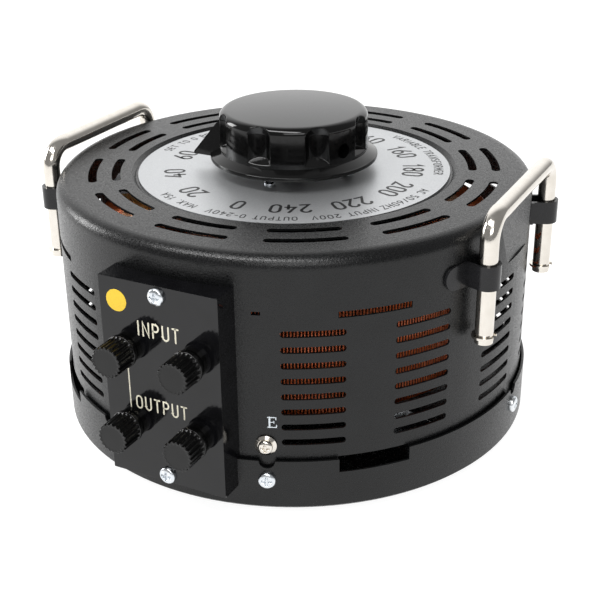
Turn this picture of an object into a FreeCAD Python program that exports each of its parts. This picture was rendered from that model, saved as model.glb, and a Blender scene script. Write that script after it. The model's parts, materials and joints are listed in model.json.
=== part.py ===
"""Bench variable autotransformer: a wound toroid under a vented round cover.

Millimetres, +Z up.  The origin is on the dial axis at the level of the feet.
The terminal box faces -Y and the two lifting handles are at +X and -X.
"""
import FreeCAD, Part
import math
import os
import re
import Sketcher
from FreeCAD import Placement, Rotation, Vector

doc = FreeCAD.newDocument("VariableAutotransformer")

# ---------------------------------------------------------------- driving dimensions
SIZES = [
    ("foot_height", 4.0, "rubber foot below the pan"),
    ("foot_radius", 9.0, "rubber foot"),
    ("foot_circle", 104.0, "radius of the circle of feet"),
    ("pan_radius", 130.0, "outside of the base pan"),
    ("pan_wall", 1.2, "rim of the base pan"),
    ("pan_floor", 1.6, "floor of the base pan"),
    ("pan_height", 27.3, "rim height above the feet"),
    ("pan_chamfer", 1.5, "lower corner of the base pan"),
    ("relief_radius", 4.0, "half-round reliefs above the rim screws"),
    ("foot_recess", 5.2, "radius of the recess under a foot"),
    ("cover_radius", 127.7, "outside of the cover"),
    ("sheet_wall", 1.2, "sheet of the cover"),
    ("cover_top", 137.3, "top face of the cover"),
    ("cover_round", 7.0, "rounded shoulder of the cover"),
    ("cover_hole", 20.0, "radius of the centre hole in the cover"),
    ("recess_depth", 2.0, "dial recess in the cover"),
    ("recess_radius", 85.4, "floor of the dial recess"),
    ("flat_low", 108.5, "lower edge of the flats behind the handles"),
    ("flat_reach", 126.8, "flat's distance from the axis at its lower edge"),
    ("flat_tilt", 3.6, "lean of the flats in degrees"),
    ("slot_outer", 108.24, "radius of the outer ring of top slots"),
    ("slot_inner", 95.84, "radius of the inner ring of top slots"),
    ("slot_width", 4.6, "width of a top slot"),
    ("slot_sweep", 18.6, "top slot in degrees, between the centres of its round ends"),
    ("slot_count", 12.0, "top slots in each ring"),
    ("vent_top", 98.75, "height of the top row of side vents"),
    ("vent_pitch", 8.25, "spacing of the rows"),
    ("vent_height", 3.3, "height of one vent"),
    ("vent_length", 30.9, "length of one vent"),
    ("vent_rows", 8.0, "vents in a column"),
    ("vent_first", 30.86, "degrees from the terminal side to the first column"),
    ("vent_columns", 13.0, "columns of vents"),
    ("window_low", 106.2, "sill of the corner windows"),
    ("window_high", 109.5, "head of the corner windows"),
    ("window_half", 18.2, "half width of the corner windows and notches"),
    ("notch_low", 24.2, "floor of the notches in the pan's rim"),
    ("notch_high", 32.0, "head of the cut-outs in the cover's skirt"),
    ("dial_radius", 84.06, "dial plate"),
    ("dial_thick", 1.0, "dial plate"),
    ("dial_screw_circle", 31.4, "radius of the circle of dial screws"),
    ("dial_screw_hole", 1.6, "radius of the holes for the dial screws"),
    ("shaft_radius", 6.0, "main shaft"),
    ("shaft_low", 21.0, "lower end of the shaft"),
    ("shaft_high", 163.0, "upper end of the shaft"),
    ("shaft_play", 0.05, "running clearance of the shaft"),
    ("knob_low", 143.0, "underside of the knob's skirt"),
    ("knob_top", 170.0, "crown of the knob"),
    ("knob_radius", 39.6, "gripping body of the knob"),
    ("skirt_radius", 45.0, "thin skirt of the knob"),
    ("skirt_thick", 2.0, "thin skirt of the knob"),
    ("flute_radius", 7.6, "finger flutes of the knob"),
    ("flute_circle", 43.2, "radius of the flutes' centres"),
    ("pointer_tip", 54.5, "reach of the knob's pointer"),
    ("pointer_half", 9.5, "half width of the pointer at the knob"),
    ("set_screw_rise", 11.5, "set screw above the underside of the knob"),
    ("set_screw_hole", 3.8, "counterbore of the set screw's hole"),
    ("set_screw", 2.5, "M5 set screw"),
    ("pointer_angle", -157.5, "pointer's bearing at rest in degrees"),
    ("winding_radius", 111.0, "outside of the winding"),
    ("winding_bore", 55.0, "bore of the winding"),
    ("winding_low", 44.0, "underside of the winding"),
    ("winding_high", 109.0, "brush face of the winding"),
    ("winding_skin", 2.0, "depth of wire outside, above and below"),
    ("winding_inner_skin", 4.0, "depth of wire in the bore"),
    ("wrap_thick", 1.0, "insulating wrap of the core"),
    ("support_radius", 84.0, "disc of the lower frame"),
    ("support_high", 42.0, "upper face of the lower frame"),
    ("support_disc", 4.0, "disc of the lower frame"),
    ("leg_circle", 66.0, "radius of the circle of frame legs"),
    ("leg_radius", 8.0, "frame legs"),
    ("clamp_radius", 66.0, "upper clamp disc"),
    ("clamp_low", 112.0, "underside of the upper clamp"),
    ("clamp_high", 117.0, "upper face of the upper clamp"),
    ("hub_radius", 15.0, "bearing hubs"),
    ("bush_radius", 9.0, "outside of the bearing bushes"),
    ("bolt_circle", 48.0, "radius of the circle of tie bolts"),
    ("bolt_radius", 3.0, "tie bolts"),
    ("hole_play", 0.25, "radial clearance of screw holes"),
    ("arm_low", 123.5, "underside of the brush arm"),
    ("arm_high", 126.5, "upper face of the brush arm"),
    ("arm_disc", 42.0, "round part of the brush arm"),
    ("arm_reach", 100.0, "outer end of the brush arm"),
    ("arm_half", 12.0, "half width of the brush arm"),
    ("brush_circle", 88.0, "radius of the brush track"),
    ("brush_long", 14.0, "carbon brush along the radius"),
    ("brush_wide", 6.0, "carbon brush across the radius"),
    ("brush_gap", 0.3, "carbon brush above the track"),
    ("ring_radius", 19.0, "slip ring"),
    ("hub_sleeve", 12.0, "insulating sleeve of the brush arm"),
    ("stop_circle", 36.0, "radius of the rotation stops"),
    ("stop_radius", 4.0, "fixed stop"),
    ("lug_radius", 3.2, "turning stop"),
    ("box_half", 32.2, "half width of the terminal box"),
    ("box_front", 138.2, "terminal box face from the axis"),
    ("box_low", 16.1, "lower edge of the terminal box"),
    ("box_high", 121.75, "upper edge of the terminal box"),
    ("box_wall", 2.5, "sides of the terminal box"),
    ("box_face", 3.0, "face of the terminal box"),
    ("box_back", 112.0, "back of the terminal box from the axis"),
    ("box_screw_low", 20.4, "height of the lower screw of the terminal box"),
    ("box_screw_high", 116.6, "height of the upper screw of the terminal box"),
    ("box_boss", 4.5, "screw bosses in the terminal box"),
    ("post_x", 18.0, "terminal posts from the middle"),
    ("post_z", 66.6, "middle height of the four posts"),
    ("post_half", 20.4, "half the height between the rows of posts"),
    ("stud_radius", 2.5, "terminal studs"),
    ("post_knob", 8.0, "terminal knobs"),
    ("collar_long", 3.6, "fixed collars of the posts"),
    ("grip_long", 13.9, "length of a terminal knob"),
    ("grip_flange", 2.4, "smooth flange of a terminal knob"),
    ("grip_groove", 0.75, "grooves round a terminal knob"),
    ("grip_grooves", 20.0, "number of grooves round a terminal knob"),
    ("clamp_washer", 5.2, "washers under the terminal knobs"),
    ("nut_flats", 8.0, "M5 nuts across the flats"),
    ("nut_high", 3.2, "M5 nuts"),
    ("lug_thick", 0.8, "solder lugs"),
    ("handle_x", 127.0, "handle rods from the axis"),
    ("handle_y", 48.0, "handle legs from the middle"),
    ("handle_rod", 4.6, "handle rod"),
    ("handle_bar", 143.0, "height of the handle's bar"),
    ("handle_bend", 11.5, "bend of the handle rod"),
    ("handle_low", 80.2, "lower end of the handle legs"),
    ("ring_low", 83.2, "retaining rings on the handle legs"),
    ("clamp_strap_low", 109.5, "lower edge of the handle clamps"),
    ("strap_tall", 12.2, "height of the handle clamps"),
    ("strap_thick", 1.5, "strip of the handle clamps"),
    ("ear_reach", 14.0, "middle of a clamp's rounded ear from the rod"),
    ("ring_thick", 1.2, "retaining rings"),
    ("screw_radius", 2.0, "M4 screws"),
    ("screw_head", 4.3, "M4 pan heads"),
    ("screw_head_high", 2.6, "M4 pan heads"),
    ("base_screw_z", 21.0, "height of the screws in the pan's rim"),
    ("earth_z", 39.4, "height of the earth terminal"),
    ("earth_angle", -69.5, "bearing of the earth terminal in degrees"),
    ("cup_washer", 5.3, "cup washer of the earth terminal"),
    ("earth_head", 3.6, "head of the earth screw"),
    ("strap_long", 52.0, "bonding strap"),
    ("strap_wide", 16.0, "bonding strap"),
]

sheet = doc.addObject("Spreadsheet::Sheet", "Sizes")
for row, (alias, number, note) in enumerate(SIZES, start=1):
    sheet.set("A%d" % row, note)
    sheet.set("B%d" % row, str(number))
    sheet.setAlias("B%d" % row, alias)
doc.recompute()

ALIASES = re.compile(r"\b(%s)\b" % "|".join(alias for alias, number, note in SIZES))
X_AXIS = Vector(1, 0, 0)
Y_AXIS = Vector(0, 1, 0)
Z_AXIS = Vector(0, 0, 1)
POST_CORNERS = [(-1, 1), (1, 1), (-1, -1), (1, -1)]
RIM_SCREW_BEARINGS = [-69.3, 0.0, 69.3, 110.7, 180.0, 249.3]
CORNER_BEARINGS = [-45.75, 45.75, 134.25, 225.75]
FOOT_BEARINGS = [0.0, 90.0, 180.0, 270.0]
BOLT_BEARINGS = [30.0, 150.0, 270.0]
DIAL_SCREW_BEARINGS = [-87.0, 3.0, 93.0, 183.0]
LEAD_BEARING = 100.0
COLLECTOR_BEARING = 80.0
STRAP_BEARING = -36.0
KNOB_FLUTES = 8
STOP_SPREAD = 81.0
SET_SCREW_TURN = 135.0
SIDES = [("right", 1), ("left", -1)]

BOX_SCREW_LEVELS = [float(sheet.box_screw_high), float(sheet.box_screw_low)]

parts = {}


# ---------------------------------------------------------------- helpers
def size(alias):
    """The sheet's value of one driving dimension."""
    return float(getattr(sheet, alias))


def cells(text):
    """An expression in plain aliases, written for the sheet."""
    return ALIASES.sub(r"Sizes.\1", str(text))


def bind(thing, **sizes):
    """Bind properties, given as name=expression, to the sheet."""
    for name, text in sizes.items():
        thing.setExpression(name, cells(text))
    return thing


def place(thing, x=None, y=None, z=None, turn=None):
    """Bind a position to the sheet; turn is (axis, degrees) or a Rotation."""
    if isinstance(turn, tuple):
        turn = Rotation(turn[0], turn[1])
    if turn is not None:
        thing.Placement = Placement(Vector(), turn)
    for axis, text in (("x", x), ("y", y), ("z", z)):
        if text is not None:
            thing.setExpression("Placement.Base." + axis, cells(text))
    return thing


def keep(thing, label):
    """Register an object as the sub-part called label."""
    thing.Label = label
    parts[label] = thing
    return thing


def cylinder(radius, height, **where):
    thing = bind(doc.addObject("Part::Cylinder", "Cylinder"), Radius=radius, Height=height)
    return place(thing, **where)


def cone(radius1, radius2, height, **where):
    thing = doc.addObject("Part::Cone", "Cone")
    bind(thing, Radius1=radius1, Radius2=radius2, Height=height)
    return place(thing, **where)


def box(length, width, height, **where):
    thing = bind(doc.addObject("Part::Box", "Box"), Length=length, Width=width, Height=height)
    return place(thing, **where)


def centred_box(length, width, height, z):
    return box(length, width, height, x="-(%s)/2" % length, y="-(%s)/2" % width, z=z)


def fuse(*shapes):
    thing = doc.addObject("Part::MultiFuse", "Fuse")
    thing.Shapes = list(shapes)
    return thing


def cut(base, *tools):
    thing = doc.addObject("Part::Cut", "Cut")
    thing.Base = base
    thing.Tool = tools[0] if len(tools) == 1 else group(*tools)
    return thing


def common(first, second):
    thing = doc.addObject("Part::Common", "Common")
    thing.Base = first
    thing.Tool = second
    return thing


def group(*shapes):
    thing = doc.addObject("Part::Compound", "Group")
    thing.Links = list(shapes)
    return thing


def copies(master, placements):
    """A group of linked copies of one object."""
    links = []
    for placement in placements:
        link = doc.addObject("App::Link", "Copy")
        link.LinkedObject = master
        link.LinkTransform = True
        link.Placement = placement
        links.append(link)
    return group(*links)


def spin(bearing):
    """Turn about the dial axis."""
    return Placement(Vector(), Rotation(Z_AXIS, bearing))


def around(master, bearings):
    return copies(master, [spin(bearing) for bearing in bearings])


def origin_plane(body, role):
    return [plane for plane in body.Origin.OriginFeatures if plane.Role == role][0]


def outline(body, points, plane="XZ_Plane"):
    """A closed outline of straight edges, each corner bound to two expressions."""
    sketch = body.newObject("Sketcher::SketchObject", "Outline")
    sketch.AttachmentSupport = (origin_plane(body, plane), [""])
    sketch.MapMode = "FlatFace"
    count = len(points)
    start = []
    for index in range(count):
        angle = 2 * math.pi * index / count
        start.append(Vector(60 + 50 * math.cos(angle), 60 + 50 * math.sin(angle), 0))
    for index in range(count):
        sketch.addGeometry(Part.LineSegment(start[index], start[(index + 1) % count]), False)
    for index in range(count):
        sketch.addConstraint(Sketcher.Constraint("Coincident", index, 2, (index + 1) % count, 1))
    for index, corner in enumerate(points):
        for kind, value, text in zip(("DistanceX", "DistanceY"), start[index], corner):
            number = sketch.addConstraint(Sketcher.Constraint(kind, -1, 1, index, 1, value))
            sketch.setExpression("Constraints[%d]" % number, cells(text))
    return sketch


def turned(points, label="Turned"):
    """A body revolved about Z from (radius, height) corners."""
    body = doc.addObject("PartDesign::Body", label)
    turn = body.newObject("PartDesign::Revolution", "Turn")
    turn.Profile = outline(body, points)
    turn.ReferenceAxis = (turn.Profile[0], ["V_Axis"])
    turn.Angle = 360
    return body


def round_edges(body, radius, wanted):
    """Fillet a body's edges that the test function wanted accepts."""
    doc.recompute()
    tip = body.Tip
    names = []
    for index, edge in enumerate(tip.Shape.Edges, start=1):
        if wanted(edge):
            names.append("Edge%d" % index)
    fillet = body.newObject("PartDesign::Fillet", "Round")
    fillet.Base = (tip, names)
    bind(fillet, Radius=radius)
    body.Tip = fillet
    return body


def circle_at(radius, height):
    """A test for the round edge of this radius at this height."""
    def wanted(edge):
        box_of = edge.BoundBox
        flat = abs(box_of.ZMax - height) < 0.01 and abs(box_of.ZMin - height) < 0.01
        return flat and abs(box_of.XMax - radius) < 0.01 and abs(box_of.XMin + radius) < 0.01
    return wanted


def tube(points, radius):
    """A round lead along straight runs joined by tangent arcs."""
    corners = [Vector(*point) for point in points]
    edges = []
    start = corners[0]
    for before, corner, after in zip(corners, corners[1:], corners[2:]):
        back = before.sub(corner)
        ahead = after.sub(corner)
        reach = 0.45 * min(back.Length, ahead.Length)
        back.normalize()
        ahead.normalize()
        middle = back.add(ahead)
        middle.normalize()
        half = back.getAngle(ahead) / 2
        arc_radius = reach * math.tan(half)
        first = corner.add(back.multiply(reach))
        last = corner.add(ahead.multiply(reach))
        deep = arc_radius / math.sin(half) - arc_radius
        edges.append(Part.LineSegment(start, first).toShape())
        edges.append(Part.Arc(first, corner.add(middle.multiply(deep)), last).toShape())
        start = last
    edges.append(Part.LineSegment(start, corners[-1]).toShape())
    spine = doc.addObject("Part::Feature", "Route")
    spine.Shape = Part.Wire(edges)
    end = doc.addObject("Part::Circle", "Section")
    bind(end, Radius=radius)
    end.Placement = Placement(corners[0], Rotation(Z_AXIS, corners[1].sub(corners[0])))
    sweep = doc.addObject("Part::Sweep", "Tube")
    sweep.Sections = [end]
    sweep.Spine = (spine, ["Edge%d" % (index + 1) for index in range(len(edges))])
    sweep.Solid = True
    return sweep


def hexagon(across_flats, height, **where):
    thing = bind(doc.addObject("Part::Prism", "Hexagon"), Height=height)
    thing.Polygon = 6
    bind(thing, Circumradius="(%s) / sqrt(3)" % across_flats)
    return place(thing, **where)


def pan_screw(radius, length, head, head_high):
    """A cross-recessed pan-head screw along +Z, its head above z = 0."""
    shank = cylinder(radius, length, z="-(%s)" % length)
    rim = cylinder(head, "0.45 * (%s)" % head_high)
    crown = cone(head, "0.62 * (%s)" % head, "0.55 * (%s)" % head_high, z="0.45 * (%s)" % head_high)
    arm_a = centred_box("1.15 * (%s)" % head, "0.22 * (%s)" % head, head_high, "0.5 * (%s)" % head_high)
    arm_b = centred_box("0.22 * (%s)" % head, "1.15 * (%s)" % head, head_high, "0.5 * (%s)" % head_high)
    return cut(fuse(shank, rim, crown), arm_a, arm_b)


def outward(bearing, height, distance):
    """Placement that turns +Z to point out from the dial axis."""
    turn = Rotation(Z_AXIS, bearing).multiply(Rotation(Y_AXIS, 90))
    out = Rotation(Z_AXIS, bearing).multVec(Vector(distance, 0, height))
    return Placement(out, turn)


def forward(x, y, z):
    """Placement that turns +Z to point at the terminal side, -Y."""
    return Placement(Vector(x, y, z), Rotation(X_AXIS, 90))


# ---------------------------------------------------------------- base
def make_base():
    pan = turned([
        ("0", "foot_height"),
        ("pan_radius - pan_chamfer", "foot_height"),
        ("pan_radius", "foot_height + pan_chamfer"),
        ("pan_radius", "foot_height + pan_height"),
        ("pan_radius - pan_wall", "foot_height + pan_height"),
        ("pan_radius - pan_wall", "foot_height + pan_floor"),
        ("0", "foot_height + pan_floor"),
    ], "PanShell")
    notch = box("20", "2 * window_half", "foot_height + pan_height - notch_low + 1",
                x="pan_radius - 10", y="-window_half", z="notch_low")
    rim_hole = cylinder("screw_radius + hole_play", "12", x="pan_radius - 8", z="base_screw_z",
                        turn=(Y_AXIS, 90))
    relief = cylinder("relief_radius", "12", x="pan_radius - 8", z="foot_height + pan_height",
                      turn=(Y_AXIS, 90))
    foot_hole = cylinder("screw_radius + hole_play", "8", x="foot_circle", z="foot_height - 3")
    frame_hole = cylinder("screw_radius + hole_play", "8", x="leg_circle", z="foot_height - 3")
    box_hole = cylinder("screw_radius + hole_play", "12", x="pan_radius - 8", z="box_screw_low",
                        turn=(Y_AXIS, 90))
    keep(cut(
        pan,
        around(notch, CORNER_BEARINGS),
        around(rim_hole, RIM_SCREW_BEARINGS),
        around(relief, RIM_SCREW_BEARINGS),
        around(foot_hole, FOOT_BEARINGS),
        around(frame_hole, FOOT_BEARINGS),
        around(box_hole, [-90]),
    ), "base_pan")

    foot = cut(
        cone("foot_radius - 1.2", "foot_radius", "foot_height", x="foot_circle"),
        cylinder("screw_radius + hole_play", "foot_height", x="foot_circle"),
        cylinder("foot_recess", "1.8", x="foot_circle"),
    )
    keep(around(foot, FOOT_BEARINGS), "rubber_feet")
    foot_screw = fuse(
        cylinder("foot_recess - 1", "1.2", x="foot_circle", z="0.6"),
        cylinder("screw_radius", "10", x="foot_circle", z="1.8"),
    )
    keep(around(foot_screw, FOOT_BEARINGS), "foot_screws")


# ---------------------------------------------------------------- cover
def flat_tool(inset):
    """Half-space block outside one flat of the cover, leaning inwards."""
    block = box("30", "120", "60", y="-60")
    holder = group(block)
    place(holder, x="flat_reach - %s" % inset, z="flat_low", turn=(Y_AXIS, -size("flat_tilt")))
    return holder


def cover_form(inset, low):
    """Solid form of the cover, inset by one sheet for its inside."""
    corner = "cover_round" if inset == "0" else "cover_round - sheet_wall"
    body = turned([
        ("0", low),
        ("cover_radius - %s" % inset, low),
        ("cover_radius - %s" % inset, "cover_top - %s" % inset),
        ("recess_radius + 2 - %s / 2" % inset, "cover_top - %s" % inset),
        ("recess_radius - %s / 2" % inset, "cover_top - recess_depth - %s" % inset),
        ("0", "cover_top - recess_depth - %s" % inset),
    ], "CoverForm")
    depth = size("sheet_wall") if inset == "sheet_wall" else 0.0
    round_edges(body, corner, circle_at(size("cover_radius") - depth, size("cover_top") - depth))
    return cut(body, around(flat_tool(inset), [0, 180]))


def make_cover():
    floor = "foot_height + pan_floor"
    shell = cut(cover_form("0", floor), cover_form("sheet_wall", floor + " - 1"))

    slots = []
    for ring in ("slot_outer", "slot_inner"):
        outer = cylinder("%s + slot_width / 2" % ring, "8", z="cover_top - 5")
        inner = cylinder("%s - slot_width / 2" % ring, "8", z="cover_top - 5")
        bind(outer, Angle="slot_sweep")
        bind(inner, Angle="slot_sweep")
        arc = cut(outer, inner)
        half = size("slot_sweep") / 2
        end = cylinder("slot_width / 2", "8", x=ring, z="cover_top - 5")
        slots.append(copies(arc, [spin(-half)]))
        slots.append(around(end, [-half, half]))
    slot_pair = group(*slots)
    slot_step = 360 / size("slot_count")
    top_slots = around(slot_pair, [slot_step * index for index in range(int(size("slot_count")))])

    vent_bar = box("8", "vent_length - vent_height", "vent_height",
                   x="cover_radius - 4", y="-(vent_length - vent_height) / 2", z="-vent_height / 2")
    vent_end = cylinder("vent_height / 2", "8", x="cover_radius - 4", turn=(Y_AXIS, 90))
    shift = (size("vent_length") - size("vent_height")) / 2
    ends = copies(vent_end, [Placement(Vector(0, side * shift, 0), Rotation()) for side in (-1, 1)])
    vent = group(vent_bar, ends)
    rows = int(size("vent_rows"))
    heights = [size("vent_top") - size("vent_pitch") * row for row in range(rows)]
    column = copies(vent, [Placement(Vector(0, 0, height), Rotation()) for height in heights])
    columns = int(size("vent_columns"))
    first = size("vent_first")
    step = (360 - 2 * first) / (columns - 1)
    vents = around(column, [-90 + first + step * index for index in range(columns)])

    window = box("12", "2 * window_half", "window_high - window_low",
                 x="cover_radius - 10", y="-window_half", z="window_low")
    skirt_notch = box("12", "2 * window_half", "notch_high",
                      x="cover_radius - 10", y="-window_half")
    rim_hole = cylinder("screw_radius + 0.05", "12", x="cover_radius - 8", z="base_screw_z",
                        turn=(Y_AXIS, 90))
    centre_hole = cylinder("cover_hole", "20", z="cover_top - 12")
    dial_hole = cylinder("dial_screw_hole - 0.05", "8", x="dial_screw_circle", z="cover_top - 7")
    wiring_window = box("54", "30", "76", x="-27", y="-cover_radius - 10", z="30")
    box_holes = copies(cylinder("screw_radius + 0.05", "12", y="6", turn=(X_AXIS, 90)), [
        Placement(Vector(0, -size("cover_radius"), height), Rotation()) for height in BOX_SCREW_LEVELS
    ])
    earth_hole = cylinder("screw_radius + 0.05", "12", x="cover_radius - 8", z="earth_z",
                          turn=(Y_AXIS, 90))
    gauge_hole = box("8", "4.3", "1.8", x="cover_radius - 4", y="-2.15", z="108.2")
    keep(cut(
        shell,
        top_slots,
        vents,
        around(window, CORNER_BEARINGS),
        around(skirt_notch, CORNER_BEARINGS),
        around(rim_hole, RIM_SCREW_BEARINGS),
        centre_hole,
        around(dial_hole, DIAL_SCREW_BEARINGS),
        wiring_window,
        box_holes,
        around(earth_hole, [size("earth_angle")]),
        around(gauge_hole, [-71.0]),
    ), "cover")

    screw = pan_screw("screw_radius", "9", "screw_head", "screw_head_high")
    keep(copies(screw, [outward(bearing, size("base_screw_z"), size("pan_radius"))
                        for bearing in RIM_SCREW_BEARINGS]), "base_screws")


# ---------------------------------------------------------------- terminal box and posts
def make_terminals():
    depth = "box_front - box_back"
    block = box("2 * box_half", depth, "box_high - box_low",
                x="-box_half", y="-box_front", z="box_low")
    room = box("2 * (box_half - box_wall)", depth, "box_high - box_low - 2 * box_wall",
               x="-box_half + box_wall", y="-box_front + box_face", z="box_low + box_wall")
    levels = [Placement(Vector(0, 0, height), Rotation()) for height in BOX_SCREW_LEVELS]
    bosses = copies(cylinder("box_boss", depth, y="-box_back", turn=(X_AXIS, 90)), levels)
    screw_holes = copies(cylinder("screw_radius + 0.1", "60", y="-90", turn=(X_AXIS, 90)), levels)
    behind_cover = cylinder("cover_radius + 0.05", "140")
    behind_pan = cylinder("pan_radius + 0.05", "foot_height + pan_height + 0.4")
    stud_hole = cylinder("stud_radius + 0.05", "20", y="-125", turn=(X_AXIS, 90))
    corners = [Vector(side * size("post_x"), 0, size("post_z") + level * size("post_half"))
               for side, level in POST_CORNERS]
    stud_holes = copies(stud_hole, [Placement(corner, Rotation()) for corner in corners])
    hollow = cut(block, room)
    keep(cut(fuse(hollow, bosses), screw_holes, behind_cover, behind_pan, stud_holes),
         "terminal_box")

    screw = pan_screw("screw_radius", "20", "screw_head", "screw_head_high")
    keep(copies(screw, [forward(0, -size("box_front"), height) for height in BOX_SCREW_LEVELS]),
         "terminal_box_screws")

    spots = [forward(corner.x, -size("box_front"), corner.z) for corner in corners]
    keep(copies(cylinder("stud_radius", "26", z="-11.5"), spots), "terminal_studs")
    bore = cylinder("stud_radius + 0.03", "9", z="-box_face - 6")
    nut = cut(hexagon("nut_flats", "nut_high", z="-box_face - nut_high"), bore)
    keep(copies(nut, spots), "stud_nuts")
    lug_low = "-box_face - nut_high - lug_thick - 0.1"
    lug = cut(fuse(cylinder("4.5", "lug_thick", z=lug_low),
                   box("4", "9", "lug_thick", x="-2", y="-9", z=lug_low)), bore)
    keep(copies(lug, spots), "solder_lugs")
    collar = cut(fuse(cylinder("7.6", "collar_long - 0.8"),
                      cylinder("6.6", "0.8", z="collar_long - 0.8")),
                 cylinder("stud_radius + 0.05", "9", z="-2"))
    keep(copies(collar, spots), "post_collars")

    names = ["input_left", "input_right", "output_left", "output_right"]
    washer = cut(cylinder("clamp_washer", "1.0", z="collar_long + 0.02"),
                 cylinder("stud_radius + 0.08", "9", z="collar_long - 2"))
    knob_low = "collar_long + 1.04"
    grip_end = knob_low + " + grip_long"
    grip = turned([
        ("stud_radius + 0.08", knob_low),
        ("post_knob + 0.4", knob_low),
        ("post_knob + 0.4", knob_low + " + grip_flange"),
        ("post_knob + 0.1", knob_low + " + grip_flange + 0.6"),
        ("post_knob - 0.1", grip_end + " - 0.5"),
        ("post_knob - 0.6", grip_end),
        ("0", grip_end),
        ("0", grip_end + " - 2.3"),
        ("stud_radius + 0.08", grip_end + " - 2.3"),
    ], "PostGrip")
    groove = cylinder("grip_groove", "8.8", x="post_knob + 0.35", z=knob_low + " + 3.2")
    count = int(size("grip_grooves"))
    grooves = around(groove, [360 / count * index for index in range(count)])
    post_knob = cut(grip, grooves)
    for name, spot in zip(names, spots):
        keep(copies(washer, [spot]), "clamp_washer_" + name)
        keep(copies(post_knob, [spot]), "post_knob_" + name)


def make_earth():
    reach = size("cover_radius")
    height = size("earth_z")
    bearing = size("earth_angle")
    washer = cut(turned([
        ("screw_radius + 0.1", "0.4"),
        ("cup_washer", "0.4"),
        ("cup_washer", "0.9"),
        ("3.9", "1.7"),
        ("screw_radius + 0.1", "1.7"),
    ], "CupWasher"), cylinder("screw_radius + 0.1", "4", z="-1"))
    keep(copies(washer, [outward(bearing, height, reach)]), "earth_washer")
    screw = pan_screw("screw_radius", "11", "earth_head", "2.4")
    keep(copies(screw, [outward(bearing, height, reach + 1.72)]), "earth_screw")
    nut = cut(hexagon("7", "3.0", z="-sheet_wall - 3.3"),
              cylinder("screw_radius + 0.03", "9", z="-sheet_wall - 6"))
    keep(copies(nut, [outward(bearing, height, reach)]), "earth_nut")
    strap = group(box("strap_long", "strap_wide", "1.5", x="-strap_long / 2", y="-strap_wide / 2",
                      z="-0.75"))
    facing = Rotation(Z_AXIS, STRAP_BEARING).multiply(Rotation(Y_AXIS, 90))
    strap.Placement = Placement(
        Rotation(Z_AXIS, STRAP_BEARING).multVec(Vector(117, 0, 35.5)),
        facing.multiply(Rotation(Z_AXIS, 53)))
    keep(strap, "bonding_strap")


# ---------------------------------------------------------------- dial and knob
def make_dial():
    low = "cover_top - recess_depth"
    plate = cylinder("dial_radius", "dial_thick", z=low)
    bore = cylinder("shaft_radius + 3", "4", z="cover_top - 4")
    hole = cylinder("dial_screw_hole", "4", x="dial_screw_circle", z="cover_top - 4")
    keep(cut(plate, bore, around(hole, DIAL_SCREW_BEARINGS)), "dial_plate")
    screw = pan_screw("1.5", "4", "2.9", "1.9")
    level = size("cover_top") - size("recess_depth") + size("dial_thick")
    keep(copies(screw, [Placement(spin(bearing).multVec(Vector(size("dial_screw_circle"), 0, level)),
                                  Rotation(Z_AXIS, bearing)) for bearing in DIAL_SCREW_BEARINGS]),
         "dial_screws")


def pointer_wedge():
    """A ridged wedge that rises from the pointer's tip to the knob's shoulder."""
    low = size("knob_low")
    tip = size("pointer_tip")
    back = size("knob_radius") - 5
    left = Vector(back, -size("pointer_half"), low)
    right = Vector(back, size("pointer_half"), low)
    toe = Vector(tip, 0, low)
    nose = Vector(tip, 0, low + 1.8)
    ridge = Vector(size("knob_radius") - 2.5, 0, size("knob_top") - 3.8)
    sides = [(left, right, toe), (left, toe, nose), (left, nose, ridge), (right, nose, toe),
             (right, ridge, nose), (left, ridge, right)]
    faces = [Part.Face(Part.makePolygon([a, b, c, a])) for a, b, c in sides]
    wedge = doc.addObject("Part::Feature", "PointerWedge")
    wedge.Shape = Part.makeSolid(Part.makeShell(faces))
    return wedge


def make_knob():
    crown = turned([
        ("0", "knob_low"),
        ("skirt_radius", "knob_low"),
        ("skirt_radius", "knob_low + skirt_thick"),
        ("knob_radius + 0.2", "knob_low + skirt_thick + 2.9"),
        ("knob_radius", "knob_low + skirt_thick + 4.5"),
        ("knob_radius", "knob_top - 5.0"),
        ("knob_radius - 1.2", "knob_top - 2.4"),
        ("knob_radius - 4.5", "knob_top - 0.8"),
        ("knob_radius - 14", "knob_top - 0.1"),
        ("0", "knob_top"),
    ], "KnobForm")
    flute = cylinder("flute_radius", "40", x="flute_circle", z="knob_low + skirt_thick + 3.2")
    flare = cone("0.5", "flute_radius", "4.2", x="flute_circle", z="knob_low + skirt_thick - 1")
    step = 360 / KNOB_FLUTES
    bearings = [size("pointer_angle") + step * (index + 0.5) for index in range(KNOB_FLUTES)]
    flutes = around(group(flute, flare), bearings)
    wedge = copies(pointer_wedge(), [spin(size("pointer_angle"))])
    bore = cylinder("shaft_radius + 0.02", "shaft_high - knob_low + 1.1", z="knob_low - 1")
    under = cut(cylinder("knob_radius - 5", "9", z="knob_low - 1"),
                cylinder("14", "12", z="knob_low - 2"))
    screw_spot = outward(size("pointer_angle") + SET_SCREW_TURN,
                         size("knob_low") + size("set_screw_rise"), 0)
    screw_hole = copies(group(cylinder("set_screw + 0.25", "50", z="5"),
                              cylinder("set_screw_hole", "30", z="knob_radius - 9")), [screw_spot])
    keep(cut(fuse(cut(crown, flutes), wedge), bore, under, screw_hole), "control_knob")
    grub = cut(cylinder("set_screw", "9", z="shaft_radius + 0.1"),
               hexagon("2.5", "3", z="shaft_radius + 6.2"))
    keep(copies(grub, [screw_spot]), "knob_set_screw")


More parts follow.
